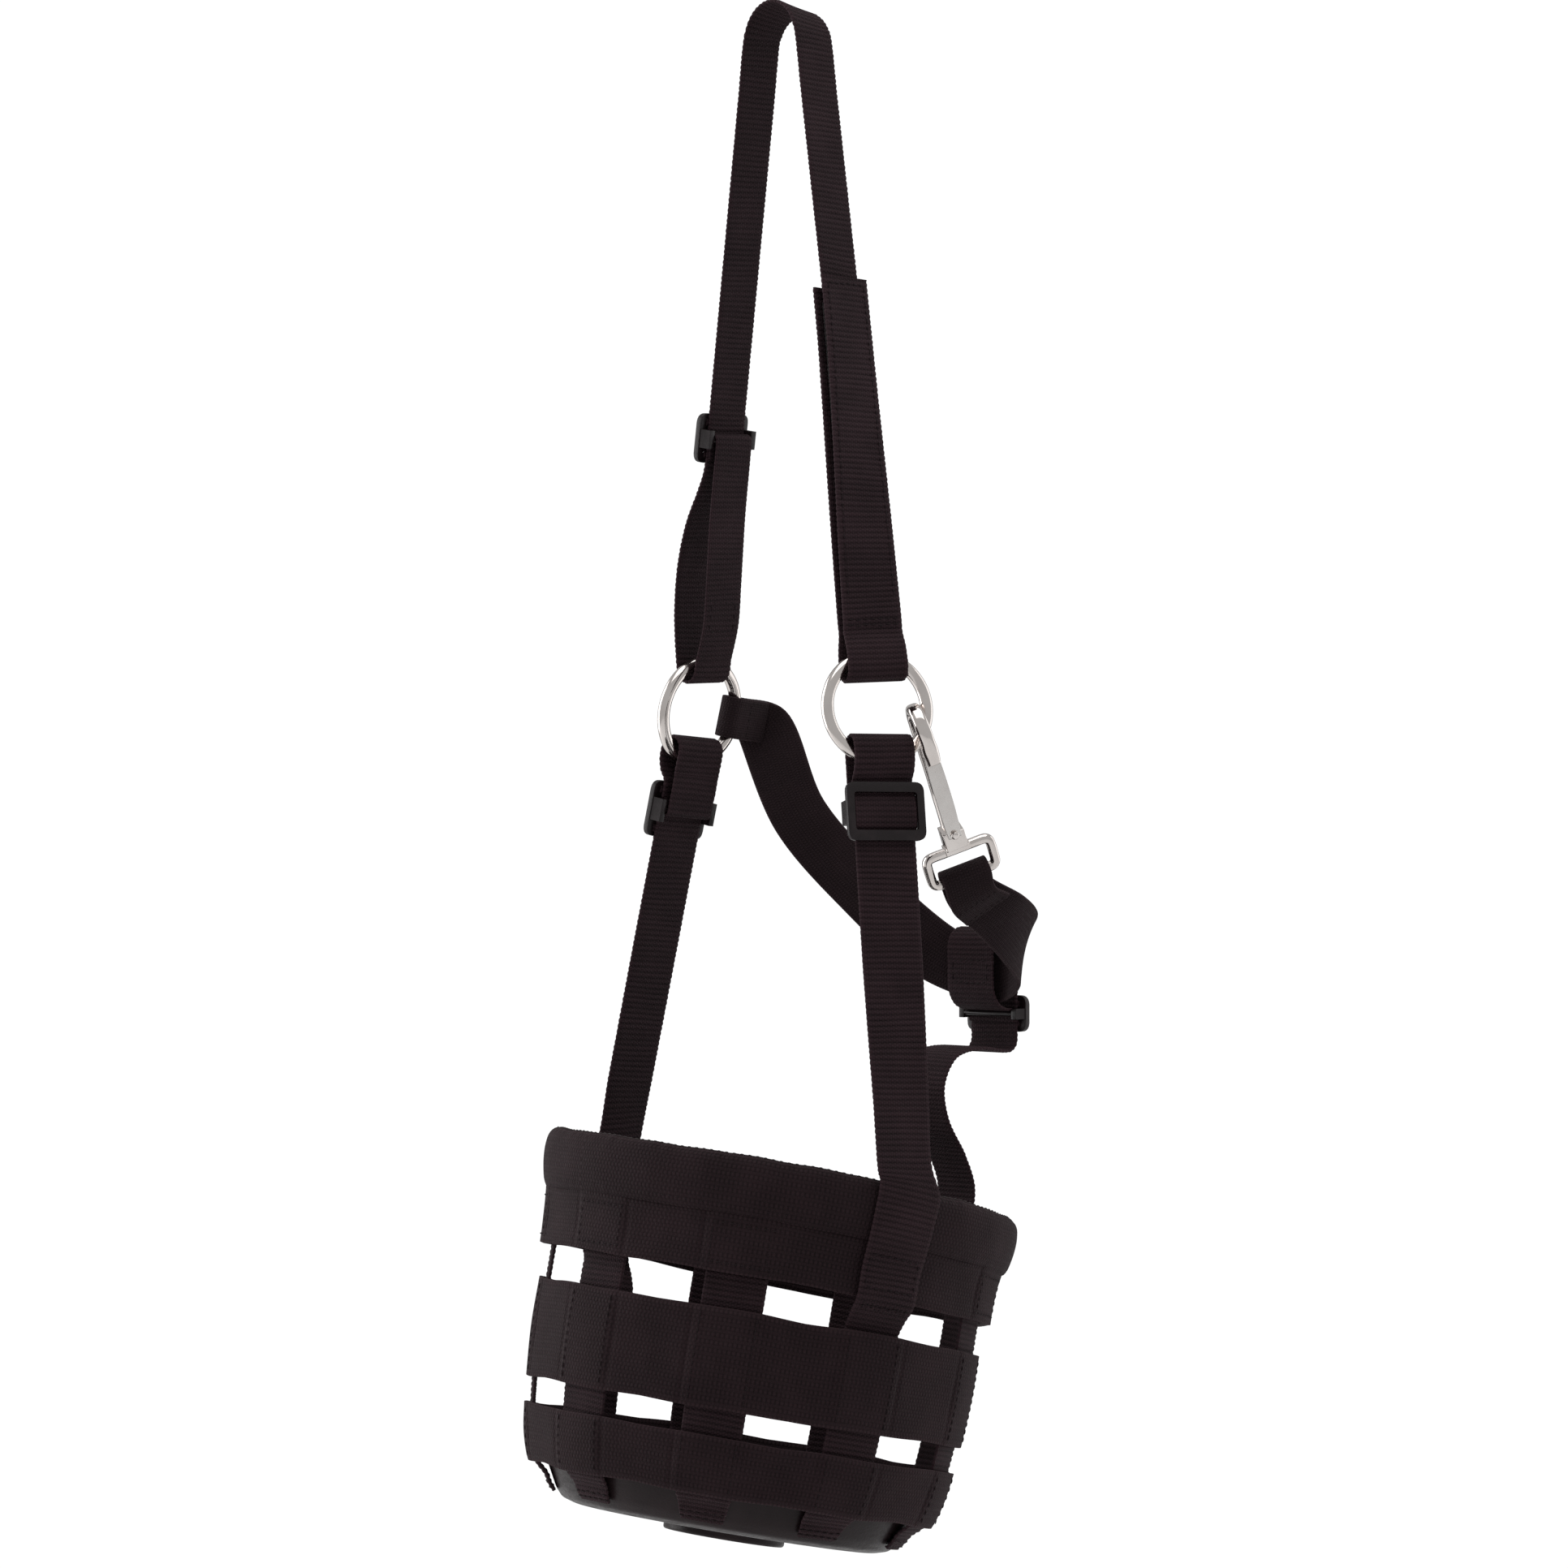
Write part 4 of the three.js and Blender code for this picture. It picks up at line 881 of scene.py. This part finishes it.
sewn = Thread()
for depth in (26.2, 41.2):
    ring_stitches(sewn, wall(depth), depth, 3.2, 3.1, (NEAR_CHEEK, FAR_CHEEK), top_swell)
for angle in VERTICALS:
    for across in (-10.9, 10.9):
        if angle not in (NEAR_CHEEK, FAR_CHEEK):
            upright_stitches(sewn, angle, across, 28, 40, 3.2, top_swell)
        upright_stitches(sewn, angle, across, MID_BAND[0] + 2, MID_BAND[1] - 2, 1.0, middle_swell)
        upright_stitches(sewn, angle, across, LOW_BAND[0] + 1.5, LOW_BAND[1] - 1.5, 1.0, lower_swell)
put(sewn.build("band_stitches", THREAD), "muzzle", "band_webbing")

# ---------------------------------------------------------------- padded roll at the rim
roll_profile = [
    (-0.6, 0.1), (2.0, -0.5), (3.7, -2.6), (4.5, -6.5), (4.75, -11.5), (4.6, -17.0), (4.2, -20.6), (3.2, -22.8),
    (0.4, -23.1), (-1.9, -22.6), (-2.9, -19.5), (-3.1, -12.5), (-3.0, -6.0), (-2.3, -2.0),
]
closed = spline(roll_profile + roll_profile[:3], 8)[8:-8]
roll_outline = by_length(closed, 1.15)[0][:-1]


def rim_roll():
    rng = np.random.default_rng(21)
    lumps = [(rng.uniform(0.3, 1), k, rng.uniform(0, 6.283)) for k in (4, 7, 11, 17, 26)]
    lump = sum(a * np.sin(k * theta + p) for a, k, p in lumps) / 3
    pucker = sum(np.sin(k * theta + rng.uniform(0, 6.283)) for k in (61, 83, 107)) / 3
    pressed = np.exp(-((from_strip(theta, (NEAR_CHEEK, FAR_CHEEK)) / (STRIP_HALF * 1.15)) ** 8))
    points = np.zeros((AROUND, len(roll_outline), 3))
    rib = np.zeros((AROUND, len(roll_outline)))
    for j, (out, height) in enumerate(roll_outline):
        depth = -height
        outside = max(0.0, min(1.0, (out + 1) / 3))
        seam = math.exp(-(((depth - 22.3) / 2.2) ** 2)) + math.exp(-(((depth - 1.0) / 1.6) ** 2))
        belly = math.exp(-(((depth - 11.5) / 8.0) ** 2)) * outside
        phase = theta * RIM_RADIUS / FINE + 0.08 * np.sin(7 * theta + depth * 0.2)
        rib[:, j] = (0.5 + 0.5 * np.cos(2 * math.pi * phase)) ** 0.7
        swelling = belly * (0.32 * lump * (1 - pressed) - 0.25 * pressed) - seam * (0.16 * pucker + 0.1) * outside
        radius = wall(depth) + out + swelling - 0.04 * (1 - rib[:, j])
        lift = 0.35 * lump * (1 - depth / 23) - 0.12 * pucker * seam
        points[:, j] = to_world(np.stack([radius * np.cos(theta), radius * np.sin(theta), height + lift], 1))
    v = np.append(0, np.cumsum(np.linalg.norm(np.diff(roll_outline, axis=0), axis=1)))
    edge = np.array([1.0 if -h < 1.2 else 0.8 for o, h in roll_outline])
    # rib also drives painted shade in the fabric colour, darker in the rib valleys.
    values = {"rib": rib, "edge": np.broadcast_to(edge, rib.shape)}
    return tube("rim_roll", points, BANDED, theta_full * RIM_RADIUS, v, values, True), lump


roll, roll_lump = rim_roll()
put(roll, "muzzle", "band_webbing", "rim_cover", "rim_foam")
sewn = Thread()
origin = to_world(vec(0, 0, 0))
count = int(2 * math.pi * 90 / 3.0)
for k in range(count):
    turn = 2 * math.pi * (k + 0.5) / count
    along = to_world(vec(-math.sin(turn), math.cos(turn), 0)) - origin
    up = to_world(vec(0, 0, 1)) - origin
    lifted = 0.35 * float(np.interp(turn, theta, roll_lump))
    r = wall(0) + 0.7
    sewn.stitch(to_world(vec(r * math.cos(turn), r * math.sin(turn), 0.12 + lifted)), along, up, 2.2, 0.36)
put(sewn.build("rim_edge_stitches", EDGE_THREAD), "muzzle", "band_webbing")
sewn = Thread()
ring_stitches(sewn, wall(19.6), 19.6, 4.3, 3.1, (NEAR_CHEEK, FAR_CHEEK), None, 0.16)
ring_stitches(sewn, wall(19.6), 19.6, -2.95, 3.1, (180,), None, 0.17)
put(sewn.build("rim_stitches", THREAD), "muzzle", "band_webbing")


# ---------------------------------------------------------------- base
def rounded(points, radius, steps=4, closed=True):
    """A polygon with its corners turned into short curves."""
    out = []
    n = len(points)
    for i, p in enumerate(points):
        p = np.array(p, float)
        if not closed and i in (0, n - 1):
            out.append(p)
            continue
        a, b = np.array(points[i - 1], float), np.array(points[(i + 1) % n], float)
        r = min(radius, 0.45 * np.linalg.norm(a - p), 0.45 * np.linalg.norm(b - p))
        start, end = p + unit(a - p) * r, p + unit(b - p) * r
        for t in np.linspace(0, 1, steps + 1):
            out.append((1 - t) ** 2 * start + 2 * t * (1 - t) * p + t * t * end)
    return np.array(out)


floor, lip = -BASKET_DEPTH, 15.5 - BASKET_DEPTH
base_profile = rounded(
    [
        (18, floor + 4), (18, floor - 4), (24.2, floor - 4), (24.2, floor), (31, floor), (32, floor - 0.5),
        (34.5, floor - 0.5), (35.5, floor), (60, floor), (65.5, floor + 1.6),
        (68.5, floor + 5), (74.2, lip), (71.5, lip), (65.5, floor + 6.5),
        (61, floor + 4), (44, floor + 4), (43, floor + 4.5), (41, floor + 4.5), (40, floor + 4), (27, floor + 4),
        (25.5, floor + 4.8), (19.5, floor + 4.8),
    ],
    1.3,
)
turns = np.arange(224) * 2 * math.pi / 224
points = np.zeros((len(turns), len(base_profile), 3))
for j, (r, h) in enumerate(base_profile):
    wave = 0.18 * np.cos(9 * turns) * np.clip((r - 62) / 10, 0, 1)
    x, y = (r + wave) * np.cos(turns), (r + wave) * np.sin(turns)
    points[:, j] = to_world(np.stack([x, y, np.full(len(turns), h)], 1))
v = np.append(0, np.cumsum(np.linalg.norm(np.diff(base_profile, axis=0), axis=1)))
base = tube("base_dish", points, RUBBER, np.append(turns, 2 * math.pi) * 60, v, None, True)
put(base, "muzzle", "rubber", "base_plate")


# ---------------------------------------------------------------- rings
def ring_mesh(name, ring):
    around, section = 160, 28
    a = np.arange(around) * 2 * math.pi / around
    b = np.arange(section) * 2 * math.pi / section
    radial = np.cos(a)[:, None] * ring.rear + np.sin(a)[:, None] * ring.up
    points = ring.centre + radial[:, None] * (RING_RADIUS + RING_WIRE / 2 * np.cos(b))[None, :, None]
    points = points + ring.normal * (RING_WIRE / 2 * np.sin(b))[None, :, None]
    return tube(name, points, NICKEL, np.append(a, 2 * math.pi) * RING_RADIUS, b * RING_WIRE / 2, None, True)


put(ring_mesh("near_ring_wire", near_ring), "near_ring", "nickel", "near_ring")
put(ring_mesh("far_ring_wire", far_ring), "far_ring", "nickel", "far_ring")


# ---------------------------------------------------------------- sliders
def frame_of(line, z, out=0.0):
    """Origin and axes of a slider: across, outwards and up the strap."""
    up, outward = -line.down, line.outward(z)
    return line.place(out, z), np.cross(outward, up), outward, up


def bevelled_block(name, parts, material, width, place):
    """Boxes and plates joined into one piece with rounded edges. parts are functions that add to a bmesh."""
    solid = None
    for make in parts:
        bm = bmesh.new()
        make(bm)
        bmesh.ops.recalc_face_normals(bm, faces=bm.faces)
        me = bpy.data.meshes.new(name + "_part")
        bm.to_mesh(me)
        bm.free()
        ob = bpy.data.objects.new(name + "_part", me)
        bpy.context.collection.objects.link(ob)
        if solid is None:
            solid = ob
            continue
        cut = solid.modifiers.new("join", "BOOLEAN")
        cut.operation, cut.object, cut.solver = "UNION", ob, "EXACT"
        bpy.context.view_layer.update()
        joined = bpy.data.meshes.new_from_object(solid.evaluated_get(bpy.context.evaluated_depsgraph_get()))
        solid.modifiers.clear()
        solid.data = joined
        bpy.data.objects.remove(ob)
    bevel = solid.modifiers.new("bevel", "BEVEL")
    bevel.width, bevel.segments, bevel.limit_method, bevel.angle_limit = width, 3, "ANGLE", math.radians(32)
    bpy.context.view_layer.update()
    done = bpy.data.meshes.new_from_object(solid.evaluated_get(bpy.context.evaluated_depsgraph_get()))
    bpy.data.objects.remove(solid)
    origin, x, y, z = place
    matrix = Matrix([[x[i], y[i], z[i], origin[i]] for i in range(3)] + [[0, 0, 0, 1]])
    done.transform(Matrix.Scale(MM, 4) @ matrix)
    if matrix.determinant() < 0:
        done.flip_normals()
    done.materials.clear()
    done.materials.append(material)
    done.polygons.foreach_set("use_smooth", [True] * len(done.polygons))
    done.set_sharp_from_angle(angle=math.radians(50))
    done.name = name
    ob = bpy.data.objects.new(name, done)
    bpy.context.collection.objects.link(ob)
    return ob


def plate(outline, hole, low, high, crown=0.0):
    """A plate in x and z between two values of y, with a hole of the same number of points, domed by crown."""

    def make(bm):
        count = len(outline)
        rings = []
        for points, y in ((outline, low), (outline, high), (hole, high), (hole, low)):
            tall = max(abs(p[1]) for p in outline)
            rings.append(
                [bm.verts.new((x, y + (crown * (1 - (z / tall) ** 2) if y == high else 0.0), z)) for x, z in points]
            )
        for a, b in ((0, 1), (1, 2), (2, 3), (3, 0)):
            for i in range(count):
                j = (i + 1) % count
                bm.faces.new((rings[a][i], rings[a][j], rings[b][j], rings[b][i]))

    return make


def block(x0, x1, y0, y1, z0, z1):
    def make(bm):
        corners = [bm.verts.new((x, y, z)) for x in (x0, x1) for y in (y0, y1) for z in (z0, z1)]
        for face in ((0, 1, 3, 2), (4, 6, 7, 5), (0, 4, 5, 1), (2, 3, 7, 6), (0, 2, 6, 4), (1, 5, 7, 3)):
            bm.faces.new([corners[k] for k in face])

    return make


def rod(radius, half, y, z, sides=20):
    def make(bm):
        rings = []
        for x in (-half, half):
            ring = [2 * math.pi * k / sides for k in range(sides)]
            rings.append([bm.verts.new((x, y + radius * math.cos(a), z + radius * math.sin(a))) for a in ring])
        for i in range(sides):
            j = (i + 1) % sides
            bm.faces.new((rings[0][i], rings[0][j], rings[1][j], rings[1][i]))
        bm.faces.new(rings[0])
        bm.faces.new(rings[1])

    return make


def slider(name, body, line, z, width, height, out=0.0):
    inner, half = width / 2 + 0.5, height / 2
    outer, sill = inner + RAIL, half - 4
    outline = rounded([(-outer, -half), (outer, -half), (outer, half), (-outer, half)], 3.6, 5)
    hole = rounded([(-inner, -sill), (inner, -sill), (inner, sill), (-inner, sill)], 1.3, 5)
    low = PLY / 2 + GAP
    rail_in = BAR_OUT - BAR_RADIUS
    parts = [plate(outline.tolist(), hole.tolist(), low, low + FACE - 0.5, 0.75)]
    for side in (-1, 1):
        x0, x1 = sorted((side * (inner + 0.02), side * (outer - 0.35)))
        parts.append(block(x0, x1, rail_in, low + 0.6, -sill * 0.62, sill * 0.62))
    parts.append(rod(BAR_RADIUS, inner + 1, BAR_OUT, 0))
    ob = bevelled_block(f"{name}_frame", parts, PLASTIC, 0.55, frame_of(line, z, out))
    put(ob, body, "plastic", name)
    hump = [(out + 0.95, z + half - 2.2), (out + 1.05, z + sill - 0.4)]
    hump += [(out + 1.0 + 1.75 * math.cos(t) ** 0.8, z - sill * 0.86 * math.sin(t)) for t in np.linspace(-1.25, 1.25, 7)]
    hump += [(out + 1.05, z - sill + 0.4), (out + 0.95, z - half + 2.2)]
    fold = Strap(rows_from(line.place, hump, width + 0.7), 0.5, RIB, 0.22)
    put(fold.build(f"{name}_fold", RIBBED, 0.4), body, "ribbed_webbing")


slider("crown_slider", "crown_slider", far, CROWN_SLIDER_Z, NARROW, 20)
slider("near_cheek_slider", "near_cheek_slider", near_cheek, CHEEK_SLIDER_Z, WIDE, 23)
slider("far_cheek_slider", "far_cheek_slider", far_cheek, CHEEK_SLIDER_Z, WIDE, 23)
CHIN_BACK, CHIN_FRONT, CHIN_TOP = 27.0, 12.2, -376.0
slider("chin_slider", "chin_slider", chin, CHIN_SLIDER_Z, WIDE, 15, CHIN_BACK)

# ---------------------------------------------------------------- chin strap
inside_rim = -3 - GAP - PLY / 2 - 0.3
sewn_part = rows_from(hung(180), [(wall(d) + inside_rim, -d) for d in (22, 12, 2)], WIDE)
curl = [(-0.9, -473), (-5, -460), (-14, -445), (-17, -431), (-10, -420), (5, -417), (19, -418.5)]
curl += arc((CHIN_BACK - 5, -413.6), 5, -80, 0, 4)
span = (CHIN_BACK - CHIN_FRONT) / 2
curl += split([(CHIN_BACK, -411), (CHIN_BACK, CHIN_TOP - 6)], 14)
curl += arc((CHIN_BACK - span, CHIN_TOP), span, 0, 180, 8) + [(CHIN_FRONT, CHIN_TOP - 6)]
chin_strap = Strap(sewn_part + rows_from(chin.place, curl, WIDE), PLY, 2.0)
ob = chin_strap.build("chin_webbing", RIBBED)
bend(ob, "headstall", "muzzle", chin.place(6, -421), chin.place(0, -462), "ribbed_webbing", "chin_strap")
sewn = Thread()
for depth in (5.5, 18.0):
    s = chin_strap.find(hung(180)(wall(depth) + inside_rim, -depth))
    for face in BOTH_FACES:
        sewn.across(chin_strap, s, -10.8, 10.8, face)
put(sewn.build("chin_sewn_stitches", THREAD), "muzzle", "ribbed_webbing")

bar = CHIN_BACK + BAR_OUT
leg = [(CHIN_FRONT, CHIN_TOP - 4.2), (CHIN_FRONT, -388), (CHIN_FRONT + 0.6, -394.5), (CHIN_FRONT + 4, -399.5)]
leg += [(bar - 3.2, -401.4)] + arc((bar, CHIN_SLIDER_Z), WRAP_RADIUS, 110, 0, 4)
leg += [(bar + WRAP_RADIUS, CHIN_SLIDER_Z - 3.5)]
chin_end = Strap(rows_from(chin.place, leg, WIDE), 1.2, 2.0, 0.25)
start_at, end_at = chin.place(CHIN_FRONT, CHIN_TOP - 9), chin.place(CHIN_FRONT, -401)
bend(
    chin_end.build("chin_end_webbing", RIBBED), "headstall", "chin_slider",
    start_at, end_at, "ribbed_webbing", "chin_strap_return",
)
sewn = Thread()
for face in BOTH_FACES:
    sewn.box(chin_end, 1.2, 10.0, 9.2, face)
bend(sewn.build("chin_end_stitches", THREAD), "headstall", "chin_slider", start_at, end_at, "ribbed_webbing")

# ---------------------------------------------------------------- snap hook
SNAP_WIRE, SNAP_TWIST = -32, 14  # where on the near ring it hangs, and its turn about itself, in degrees
SNAP_AT = near_ring.wire(SNAP_WIRE)
snap_up = unit(vec(0.4885, 0.2345, 0.84))
turn = Matrix.Rotation(math.radians(SNAP_TWIST), 3, Vector(snap_up))
snap_bar = np.array(turn @ Vector((-0.726, 0.642, 0.243)))
snap_bar = unit(snap_bar - snap_up * (snap_bar @ snap_up))
snap_back = np.cross(snap_up, snap_bar)


def snap_world(p):
    p = np.asarray(p, float)
    return SNAP_AT + p[..., 0:1] * snap_bar + p[..., 1:2] * snap_back + p[..., 2:3] * snap_up


def swept(name, path, sizes, material, square=0.6, ring=False, corner=24, side=None):
    """A bar along a path of (x, y, z) in the snap's frame. sizes are its (x-wise, in-plane) widths at each point."""
    rows = np.hstack([np.asarray(path, float), np.asarray(sizes, float)])
    if ring:
        dense = spline(np.vstack([rows[-2:], rows, rows[:3]]), 10, [0, 1, 2])[20:-20]
    else:
        dense = spline(rows, 10, [0, 1, 2])
    dense, s = by_length(dense, 0.5, [0, 1, 2])
    if ring:
        dense = dense[:-1]
    centre, size = dense[:, :3], dense[:, 3:]
    if ring:
        tangent = unit(np.roll(centre, -1, 0) - np.roll(centre, 1, 0))
    else:
        tangent = unit(np.gradient(centre, axis=0))
    axis = np.broadcast_to(vec(1, 0, 0) if side is None else side, tangent.shape)
    in_plane = unit(np.cross(tangent, axis))
    a = np.arange(corner) * 2 * math.pi / corner
    c, d = (np.sign(f(a)) * np.abs(f(a)) ** square for f in (np.cos, np.sin))
    points = centre[:, None] + axis[:, None] * (c[None] * size[:, :1] / 2)[..., None]
    points = points + in_plane[:, None] * (d[None] * size[:, 1:] / 2)[..., None]
    return tube(name, snap_world(points), material, s, a * 2, None, ring)


inner, rod_size = 6.9, 4.6
middle = inner + rod_size / 2
hook = [(0, 3.2, -50), (0, 4.6, -46.5), (0, 6.6, -41), (0, middle - 0.4, -33), (0, middle, -24), (0, middle, -12)]
hook += [(0, y, z) for y, z in arc((0, 1), middle, 0, 180, 12)] + [(0, -middle + 0.1, -4), (0, -middle + 0.5, -9.6)]
sizes = [(6.4, 7.2), (6.0, 6.2), (5.2, 4.8), (4.6, 4.3), (4.4, 4.2), (4.7, 4.4)] + [(5.2, 4.5)] * 5 + [(5.6, 4.5)] * 8
sizes += [(6.2, 4.4), (5.4, 3.4)]
put(swept("snap_hook", hook, sizes, NICKEL, 0.7), "snap", "nickel", "snap_body")
eye_x, eye_z, eye_rod, drop = 31 / 2, 17 / 2, 4.2, 60.0
half_x, half_z = eye_x - 2.1, eye_z - 2.1  # to the middle of its rod
outline = rounded([(-half_x, -half_z), (half_x, -half_z), (half_x, half_z), (-half_x, half_z)], 3.0, 4)
eye_path = []
for p, q in zip(outline, np.roll(outline, -1, 0)):
    steps = max(1, int(np.linalg.norm(q - p) / 5))
    eye_path += [(*(p + (q - p) * k / steps),) for k in range(steps)]
eye_path = [(x, 0.0, z - drop) for x, z in eye_path]
eye = swept("snap_eye", eye_path, [(3.9, 3.9)] * len(eye_path), NICKEL, 0.85, True, 20, vec(0, 1, 0))
put(eye, "snap", "nickel")
snap_frame = (SNAP_AT, snap_bar, snap_back, snap_up)
parts = [block(-4.4, 4.4, -3.45, 5.6, -52.2, -44.6), block(-5.2, 5.2, -2.9, 3.4, -54.2, -51.6)]
put(bevelled_block("snap_block", parts, NICKEL, 0.9, snap_frame), "snap", "nickel")
leaf = [(0, -4.6, -46), (0, -4.7, -41), (0, -5.6, -32), (0, -5.75, -24), (0, -5.5, -15), (0, -5.2, -7.5)]
leaf_sizes = [(width, 0.9) for width in (5.4, 6.0, 6.5, 6.5, 6.3, 5.6)]
leaf_spring = swept("snap_leaf", leaf, leaf_sizes, SPRING, 0.25, False, 28)
put(leaf_spring, "snap_gate", "nickel_spring", "snap_gate")


def rivet(bm):
    bmesh.ops.create_uvsphere(bm, u_segments=24, v_segments=12, radius=1.6)
    for vert in bm.verts:
        vert.co = Vector((vert.co.x, -6.15 - vert.co.z * 0.42, -44.6 + vert.co.y))


put(bevelled_block("snap_rivet_head", [rivet], NICKEL, 0.01, snap_frame), "snap", "nickel", "snap_rivet")


# ---------------------------------------------------------------- throat strap
THROAT_WIRE = -8  # where on the far ring it hangs, in degrees


def throat_rows():
    radial = unit(far_ring.wire(THROAT_WIRE, 1) - far_ring.wire(THROAT_WIRE))
    tangent = unit(np.cross(far_ring.normal, radial))
    tangent = -tangent if tangent[2] < 0 else tangent
    ring_width = 17.0

    def on_ring(away, out):
        return far_ring.wire(THROAT_WIRE) + radial * away + far_ring.normal * out

    stops = [(on_ring(17, -1.6), tangent, ring_width), (on_ring(11, -2.4), tangent, ring_width)]
    stops += [(on_ring(6, -3.4), tangent, ring_width)]
    seat = -wire_drop(ring_width)
    stops += [(on_ring(x, y), tangent, ring_width) for x, y in arc((seat, 0), 4.3, -90, -270, 6)]
    stops += [(on_ring(6, 3.2), tangent, ring_width), (on_ring(17, 1.6), tangent + vec(0, 0, 0.1), 22)]
    stops += [
        (vec(-46, -56, -322), vec(-0.66, 0.25, 0.7), 24),
        (vec(-69, -45, -351), vec(-0.5, 0.1, 0.8), WIDE),
        (vec(-96, -28, -379), vec(-0.2, 0.1, 0.95), WIDE),
        (vec(-105.5, -4, -386.5), vec(0, 0, 1), WIDE),
        (vec(-102.5, 20, -380), vec(-0.1, 0.1, 0.98), WIDE),
        (vec(-90, 37, -371), vec(-0.3, 0.3, 0.85), WIDE),
    ]
    bar_z = -drop - eye_z + eye_rod / 2
    round_bar = eye_rod / math.sqrt(2) + 0.5 + PLY / 2

    def on_eye(y, z):
        return snap_world(vec(0, y, z))

    stops += [
        (on_eye(1.3, bar_z - 26) + vec(-10, 0, 5), vec(-0.5, 0.45, 0.6), 24),
        (on_eye(round_bar, bar_z - 9), snap_bar, 20),
    ]
    stops += [(on_eye(y, z), snap_bar, 20) for y, z in arc((0, bar_z), round_bar, 0, 180, 6)]
    stops += [
        (on_eye(0.4 - round_bar, bar_z - 9), snap_bar, 20),
        (on_eye(-1.3, bar_z - 18) + vec(-5, 0, 2), vec(-0.6, 0.5, 0.45), 22),
    ]
    centres = np.array([p for p, w, width in stops])
    along = unit(np.gradient(centres, axis=0))
    rows = []
    for (p, w, width), t in zip(stops, along):
        w = unit(w)
        w = unit(w - t * (w @ t))
        rows.append([p - w * width / 2, p, p + w * width / 2])
    return rows


throat = Strap(throat_rows(), PLY, 1.05, 0.12)
throat_from, throat_to = vec(-80, 28, -365), vec(-80, 46, -365)  # two points passed to bend
bend(
    throat.build("throat_webbing", THROAT, 0.5), "headstall", "snap",
    throat_from, throat_to, "throat_webbing", "throat_strap",
)
sewn = Thread()
for s0 in (1.4, 12.5):
    for face in BOTH_FACES:
        sewn.across(throat, s0, -7.2, 7.2, face, 2.6)
for a in (-7.2, 7.2):
    for face in BOTH_FACES:
        sewn.along(throat, 1.4, 12.5, a, face, 2.7)
put(sewn.build("throat_ring_stitches", THREAD), "headstall", "throat_webbing")
sewn = Thread()
for s0 in (throat.length - 1.5, throat.length - 9.0):
    for face in BOTH_FACES:
        sewn.across(throat, s0, -9.2, 9.2, face, 2.6)
bend(sewn.build("throat_snap_stitches", THREAD), "headstall", "snap", throat_from, throat_to, "throat_webbing")

# ---------------------------------------------------------------- camera, light and floor
VIEW = math.radians(145.75)  # the camera's turn round the object
AWAY = 2.0  # from here on, lengths are in metres
EYE_HEIGHT = -0.309
FRAME_WIDE = 0.6252
SENSOR = 36
MIDDLE_HEIGHT = -0.35  # what the lights aim at
FLOOR_HEIGHT, FLOOR_HALF = -0.95, 1.4
camera = bpy.data.objects.new("camera", bpy.data.cameras.new("camera"))
bpy.context.collection.objects.link(camera)
camera.location = (math.sin(VIEW) * AWAY, -math.cos(VIEW) * AWAY, EYE_HEIGHT)
camera.rotation_euler = (math.pi / 2, 0, VIEW)
camera.data.sensor_width = SENSOR
camera.data.lens = SENSOR * AWAY / FRAME_WIDE
camera.data.clip_end = 100
bpy.context.scene.camera = camera

world = bpy.data.worlds.new("studio")
world.use_nodes = True
tree = world.node_tree
sky = tree.nodes["Background"]
sky.inputs["Color"].default_value = (1, 1, 1, 1)
sky.inputs["Strength"].default_value = 0.42
seen = tree.nodes.new("ShaderNodeBackground")
seen.inputs["Color"].default_value = (1, 1, 1, 1)
seen.inputs["Strength"].default_value = 1.05
path = tree.nodes.new("ShaderNodeLightPath")
both = tree.nodes.new("ShaderNodeMixShader")
tree.links.new(path.outputs["Is Camera Ray"], both.inputs[0])
tree.links.new(sky.outputs[0], both.inputs[1])
tree.links.new(seen.outputs[0], both.inputs[2])
tree.links.new(both.outputs[0], tree.nodes["World Output"].inputs[0])
bpy.context.scene.world = world
bpy.context.scene.view_settings.view_transform = "Standard"


def softbox(name, azimuth, height, away, size, power):
    """An area light round the object: azimuth is from the camera's side, in degrees, positive to its right."""
    data = bpy.data.lights.new(name, "AREA")
    data.shape, data.size, data.size_y, data.energy = "RECTANGLE", size[0], size[1], power
    ob = bpy.data.objects.new(name, data)
    bpy.context.collection.objects.link(ob)
    a = VIEW + math.radians(azimuth)
    ob.location = (math.sin(a) * away, -math.cos(a) * away, MIDDLE_HEIGHT + height)
    toward = Vector((0, 0, MIDDLE_HEIGHT)) - ob.location
    ob.rotation_euler = toward.to_track_quat("-Z", "Y").to_euler()


softbox("left_box", -105, 0.3, 1.6, (1.2, 1.8), 12)
softbox("right_box", 110, 0.3, 1.6, (1.2, 1.8), 5)
softbox("top_box", 0, 1.9, 0.3, (1.8, 1.8), 14)

ground = bpy.data.meshes.new("floor")
corners = [(x * FLOOR_HALF, y * FLOOR_HALF, FLOOR_HEIGHT) for x, y in ((-1, -1), (1, -1), (1, 1), (-1, 1))]
ground.from_pydata(corners, [], [(0, 1, 2, 3)])
pale = Nodes("pale_floor")
speck = pale.noise(3.0, 2.0)
pale.link(pale.mix(speck, (0.86, 0.86, 0.86), (0.9, 0.9, 0.9)), pale.shader.inputs["Base Color"])
pale.set(Roughness=0.8)
ground.materials.append(pale.material)
floor_object = bpy.data.objects.new("floor", ground)
bpy.context.collection.objects.link(floor_object)
